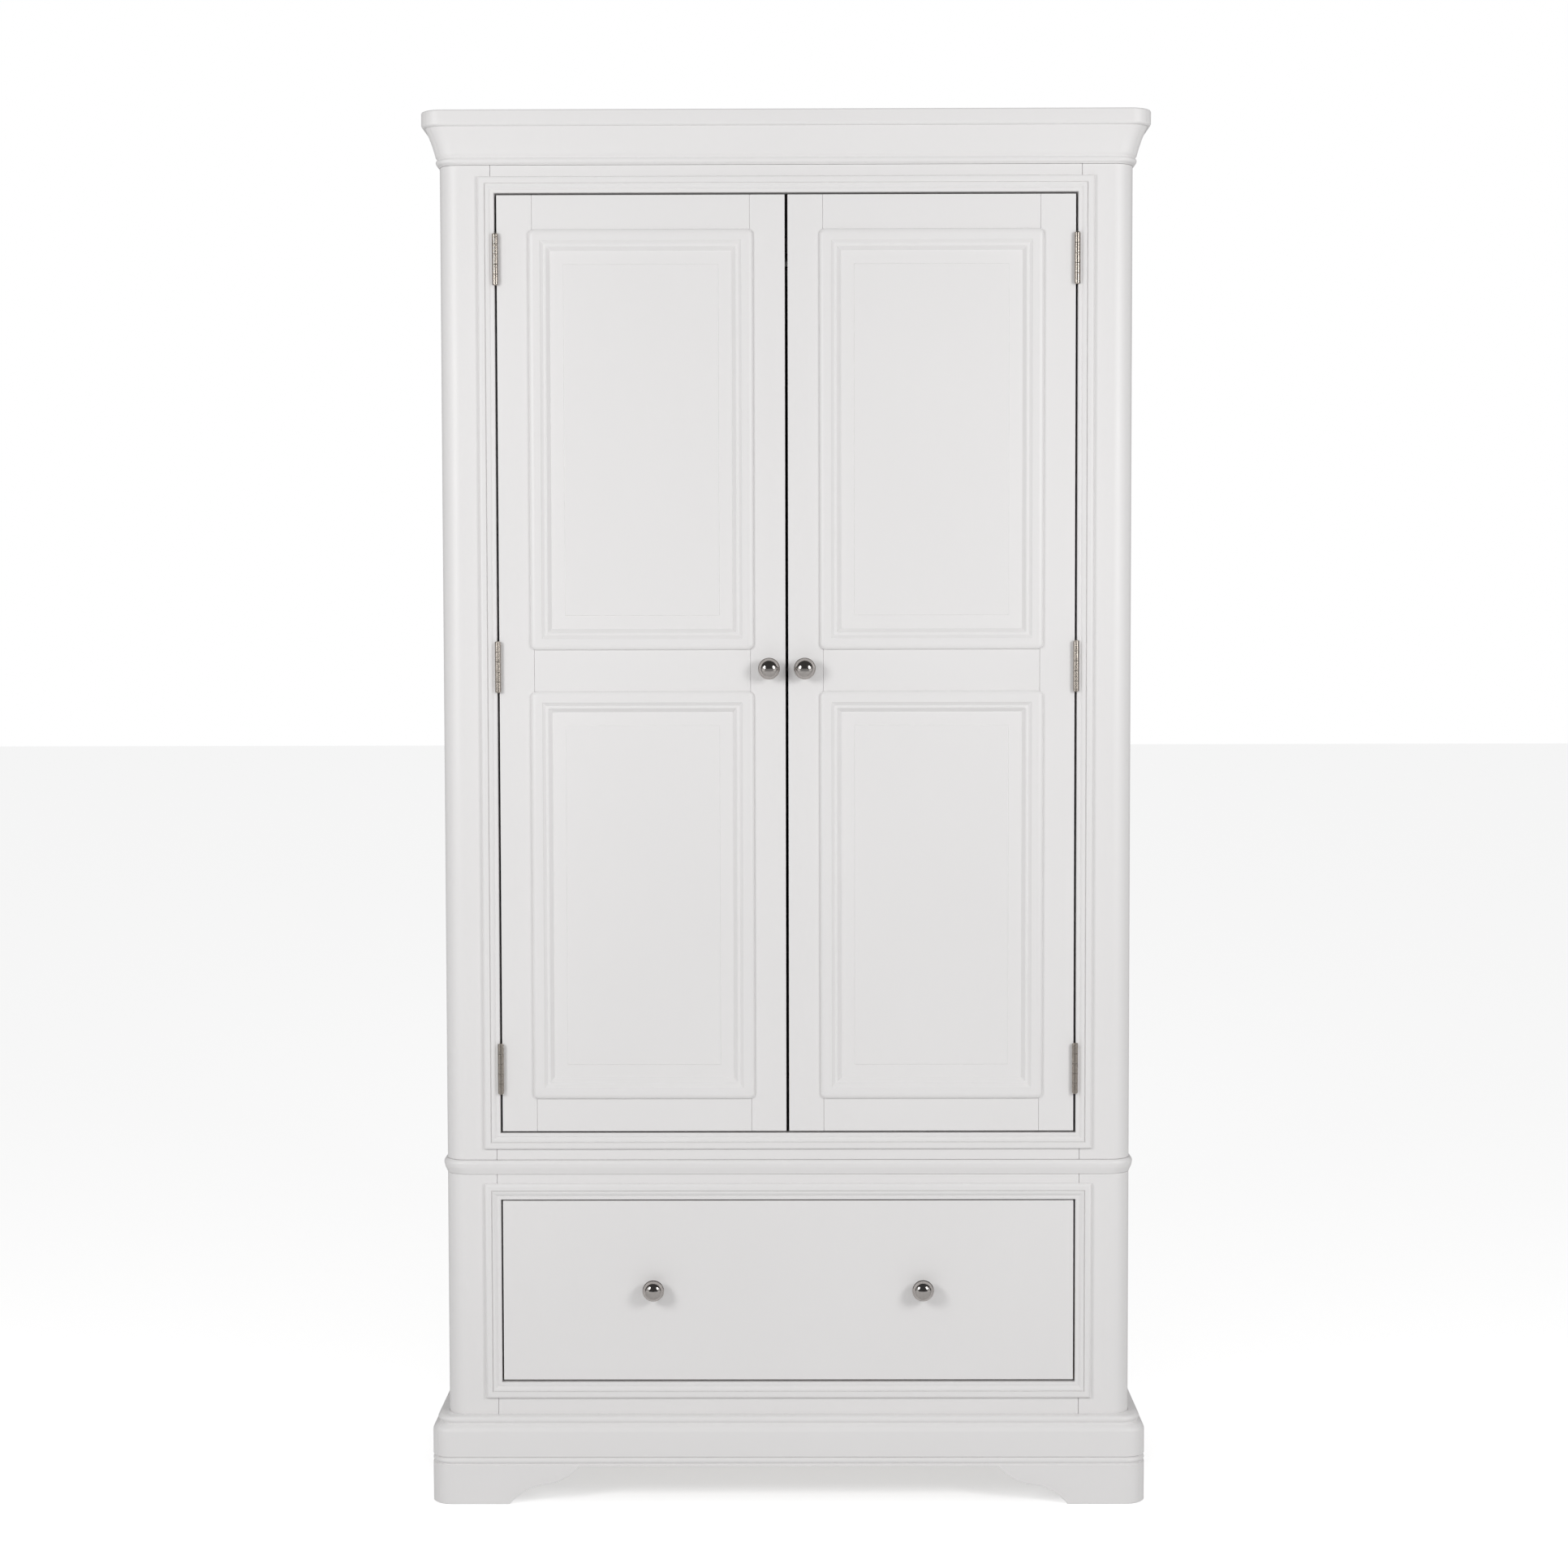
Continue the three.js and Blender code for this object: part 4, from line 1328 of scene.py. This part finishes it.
    def build(self) -> None:
        """Makes the whole door with its knob."""
        self.planks()
        for place, opening in self.openings().items():
            self.panel(place, opening)
            inset = Vector((1, 0, 1)) * (self.moulding - self.lap) * MM
            ring = Block(opening.low + inset, opening.high - inset)
            bm = bmesh.new()
            mitred_ring(bm, self.inner_section(), ring)
            rounded_ring(bm, self.outer_section(), ring, self.turn_out)
            lay_across(bm, ring)
            node = f"door_moulding_{place}_{self.side.word}"
            Piece(node + "_planted", self.body, "paint", PAINT.material(Run.UP), [node], 32.0,
                  PAINT.material(Run.ACROSS)).make(bm)
        Knob(f"door_knob_{self.side.word}", self.body).build()


# ---- Drawer ------------------------------------------------------------------------------


@dataclass
class Drawer:
    """The deep drawer: painted front, pine box with dovetails, and two knobs."""

    edge: float = 0.8
    box_edge: float = 0.8 * MM
    bottom_edge: float = 0.5 * MM
    tails: int = 6
    tail_depth: float = 9.0
    tail_proud: float = 0.15 * MM

    def front(self) -> None:
        """The front board with softened edges."""
        bm = bmesh.new()
        new_block(bm, Block.of("drawer_front"))
        bevel(bm, sharp_edges(bm), self.edge * MM, 3)
        paint = PAINT.material(Run.ACROSS)
        Piece("drawer_front_board", "drawer", "paint", paint, ["drawer_front"]).make(bm)

    def dovetails(self, side: Side) -> None:
        """The ends of the front's pins that show in a drawer side.

        Args:
            side: the side of the drawer.
        """
        block = Block.of(f"drawer_side_{side.word}")
        outer = block.high.x if side is Side.RIGHT else block.low.x
        pitch = block.size.z / self.tails
        bm = bmesh.new()
        near, far = block.low.y + 0.2 * MM, block.low.y + self.tail_depth * MM
        tail = ((near, -0.11), (far, -0.2), (far, 0.2), (near, 0.11))
        for i in range(1, self.tails):
            z = block.low.z + i * pitch
            points = [Vector((outer, y, z + share * pitch)) for y, share in tail]
            slab(bm, points, Vector((side.value * self.tail_proud, 0, 0)))
        name = f"drawer_dovetails_{side.word}"
        Piece(name, "drawer", "drawer_wood", END_GRAIN.material(Run.DEPTH)).make(bm)

    def build(self) -> None:
        """Makes the drawer and dresses its box and runners."""
        self.front()
        for side in Side:
            dress(f"drawer_side_{side.word}", PINE.material(Run.DEPTH), self.box_edge)
            dress(f"drawer_runner_{side.word}", PINE.material(Run.DEPTH), self.box_edge)
            self.dovetails(side)
            Knob(f"drawer_knob_{side.word}", "drawer").build()
        dress("drawer_back", PINE.material(Run.ACROSS), self.box_edge)
        dress("drawer_bottom", PINE.material(Run.ACROSS), self.bottom_edge)


# ---- Inside fittings and back --------------------------------------------------------------


@dataclass
class HangingRail:
    """The tube for hangers, and a flanged socket at each end."""

    wall: float = 2.0
    flange: float = 29.0
    flange_depth: float = 2.2
    screw_circle: float = 23.0
    screws: int = 3

    def socket(self, radius: float, seat: Vector, side: Side) -> None:
        """A socket with its screws.

        Args:
            radius: the tube's radius in millimetres.
            seat: the middle of its back.
            side: which end it is at.
        """
        out = Vector((-side.value, 0, 0))
        bm = bmesh.new()
        lip = radius + 0.4
        rim = lip + 2.4
        section = [(lip, 0.1), (self.flange, 0.1), *arc(self.flange - 0.6, 1.6, 0.6, 0, 90, 3),
                   (lip + 4.6, self.flange_depth), (lip + 3.0, 3.4), (rim, 5.0), (rim, 14.4),
                   *arc(lip + 1.8, 14.4, 0.6, 0, 90, 3), (lip, 15.0), (lip, 0.1)]
        lathe(bm, section, seat, out)
        name = f"rail_socket_{side.word}"
        Piece(name, "carcass", "rail_steel", RAIL_CHROME.material()).make(bm)
        bm = bmesh.new()
        for k in range(self.screws):
            angle = math.radians(90 + 360 / self.screws * k)
            spoke = Vector((0, math.cos(angle), math.sin(angle))) * self.screw_circle * MM
            Screw().add(bm, seat + out * self.flange_depth * MM + spoke, out)
        Piece(name + "_screws", "carcass", "rail_steel", SCREW_STEEL.material()).make(bm)

    def build(self) -> None:
        """Makes the tube and its sockets."""
        block = Block.of("hanging_rail")
        radius, length = block.size.z / 2 / MM, block.size.x / MM
        inner = radius - self.wall
        bm = bmesh.new()
        ring = [(inner, 0), (radius, 0), (radius, length), (inner, length), (inner, 0)]
        foot = Vector((block.low.x, block.middle.y, block.middle.z))
        lathe(bm, ring, foot, Vector((1, 0, 0)))
        chrome = RAIL_CHROME.material()
        Piece("hanging_rail_tube", "carcass", "rail_steel", chrome, ["hanging_rail"]).make(bm)
        for side in Side:
            end = block.high.x if side is Side.RIGHT else block.low.x
            seat = Vector((end + side.value * 0.3 * MM, block.middle.y, block.middle.z))
            self.socket(radius, seat, side)


@dataclass
class BackFixings:
    """Screws that hold the back panels to the carcass."""

    spacing: float = 160 * MM
    margin: float = 12 * MM
    sink: float = 0.3 * MM

    def spots(self, block: Block) -> list[tuple[float, float]]:
        """Where a panel's screws go.

        Args:
            block: the panel's limits.

        Returns:
            Their x and z.
        """
        low, high, margin = block.low, block.high, self.margin
        tall, wide = block.size.z - 2 * margin, block.size.x - 2 * margin
        rows = max(2, round(tall / self.spacing))
        columns = max(2, round(block.size.x / self.spacing))
        heights = [low.z + margin + tall * i / rows for i in range(rows + 1)]
        places = [low.x + margin + wide * i / columns for i in range(1, columns)]
        spots = [(x, z) for z in heights for x in (low.x + margin, high.x - margin)]
        return spots + [(x, z) for x in places for z in (low.z + margin, high.z - margin)]

    def build(self) -> None:
        """Makes a row of screws along the edges of each back panel."""
        for node in ("upper_back_panel", "base_back_panel"):
            block = Block.of(node)
            bm = bmesh.new()
            for x, z in self.spots(block):
                Screw().add(bm, Vector((x, block.high.y - self.sink, z)), Vector((0, 1, 0)))
            Piece(node + "_screws", "carcass", "inner_paint", SCREW_STEEL.material()).make(bm)


# ---- Studio --------------------------------------------------------------------------------


@dataclass(frozen=True)
class Studio:
    """Pale floor, white surroundings, two soft lights, two reflected screens and the camera."""

    camera_place: tuple[float, float, float] = (0.0153, -4.1376, 1.2157)
    yaw: float = -0.0051
    pitch: float = 0.0498
    roll: float = -0.0021
    lens: float = 63.2
    ambient: float = 0.42
    dark_room: float = 0.07
    light_power: float = 29.5
    light_place: tuple[float, float, float] = (1.95, -2.35, 1.75)
    light_size: tuple[float, float] = (0.8, 1.0)
    screen_power: float = 7.0
    screen_place: tuple[float, float, float] = (2.6, -1.9, 0.95)
    screen_size: tuple[float, float] = (1.9, 2.2)
    floor_tone: float = 0.8
    floor_glow: float = 0.6

    def camera(self) -> None:
        """Makes the camera."""
        data = bpy.data.cameras.new("camera")
        data.lens = self.lens
        data.sensor_width = 36.0
        level = Vector((math.cos(self.yaw), -math.sin(self.yaw), 0))
        away = Vector((math.sin(self.yaw), math.cos(self.yaw), 0))
        ahead = away * math.cos(self.pitch) - Vector((0, 0, math.sin(self.pitch)))
        upright = level.cross(ahead)
        right = level * math.cos(self.roll) + upright * math.sin(self.roll)
        top = upright * math.cos(self.roll) - level * math.sin(self.roll)
        turned = Matrix((right, top, -ahead)).transposed().to_4x4()
        camera = bpy.data.objects.new("camera", data)
        camera.matrix_world = Matrix.Translation(self.camera_place) @ turned
        bpy.context.scene.collection.objects.link(camera)
        bpy.context.scene.camera = camera

    def floor(self) -> None:
        """Makes the pale floor, which the camera sees almost white."""
        bm = bmesh.new()
        bmesh.ops.create_grid(bm, x_segments=1, y_segments=1, size=30.0)
        mesh = bpy.data.meshes.new("floor")
        bm.to_mesh(mesh)
        bm.free()
        floor = bpy.data.objects.new("floor", mesh)
        bpy.context.scene.collection.objects.link(floor)
        bench = NodeBench("studio_floor")
        bench.shader.inputs["Base Color"].default_value = (*[self.floor_tone] * 3, 1.0)
        bench.shader.inputs["Roughness"].default_value = 0.9
        bench.shader.inputs["Emission Color"].default_value = (1.0, 1.0, 1.0, 1.0)
        path = bench.add("ShaderNodeLightPath")
        glow = bench.span(path.outputs["Is Camera Ray"], 0.0, self.floor_glow)
        bench.link(glow, bench.shader.inputs["Emission Strength"])
        mesh.materials.append(bench.material)

    def world(self) -> None:
        """Makes the surroundings: soft light, dim in reflections, white to the camera."""
        world = bpy.data.worlds.new("studio")
        world.use_nodes = True
        tree = world.node_tree
        tree.nodes.clear()
        path = tree.nodes.new("ShaderNodeLightPath")
        output = tree.nodes.new("ShaderNodeOutputWorld")
        shades = []
        for strength in (self.ambient, self.dark_room, 1.0):
            shade = tree.nodes.new("ShaderNodeBackground")
            shade.inputs["Color"].default_value = (1.0, 1.0, 1.0, 1.0)
            shade.inputs["Strength"].default_value = strength
            shades.append(shade)
        result = shades[0].outputs["Background"]
        for shade, kind in zip(shades[1:], ("Is Glossy Ray", "Is Camera Ray")):
            mix = tree.nodes.new("ShaderNodeMixShader")
            tree.links.new(path.outputs[kind], mix.inputs["Fac"])
            tree.links.new(result, mix.inputs[1])
            tree.links.new(shade.outputs["Background"], mix.inputs[2])
            result = mix.outputs["Shader"]
        tree.links.new(result, output.inputs["Surface"])
        bpy.context.scene.world = world
        bpy.context.scene.view_settings.view_transform = "Standard"

    def lamp(self, name: str, place: Vector, size: tuple[float, float], power: float,
             aim: Vector) -> bpy.types.Object:
        """A rectangular light.

        Args:
            name: its name.
            place: its middle.
            size: its width and height.
            power: its power in watts.
            aim: the point that it faces.

        Returns:
            The light's object.
        """
        data = bpy.data.lights.new(name, "AREA")
        data.shape = "RECTANGLE"
        data.size, data.size_y = size
        data.energy = power
        light = bpy.data.objects.new(name, data)
        light.location = place
        light.rotation_euler = (aim - place).to_track_quat("-Z", "Y").to_euler()
        bpy.context.scene.collection.objects.link(light)
        return light

    def lights(self) -> None:
        """Makes a soft light on each side of the camera, and a pale screen that only reflections show."""
        for side in Side:
            place = Vector(self.light_place) * Vector((side.value, 1, 1))
            aim = Vector((0, 0, 1.2))
            self.lamp(f"softbox_{side.word}", place, self.light_size, self.light_power, aim)
        for side in Side:
            place = Vector(self.screen_place) * Vector((side.value, 1, 1))
            aim = Vector((0, -0.3, place.z))
            screen = self.lamp(f"screen_{side.word}", place, self.screen_size, self.screen_power, aim)
            screen.visible_diffuse = False

    def build(self) -> None:
        """Makes the camera, the surroundings and the lights."""
        self.camera()
        self.floor()
        self.world()
        self.lights()


def main() -> None:
    """Builds the wardrobe."""
    logging.basicConfig(level=logging.INFO, format="%(name)s %(message)s")
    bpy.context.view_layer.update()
    Studio().build()
    line = BodyLine()
    Plinth(line).build()
    Carcass(line).build()
    BeadBoard(line).build()
    Cornice(line).build()
    hinges = [Hinge(place, side) for place in ("bottom", "middle", "top") for side in Side]
    Surround("door_surround").build([hinge.barrel() for hinge in hinges])
    Surround("drawer_surround").build()
    for hinge in hinges:
        hinge.build()
    for side in Side:
        Door(side).build()
    Drawer().build()
    HangingRail().build()
    BackFixings().build()


if __name__ == "__main__":
    main()
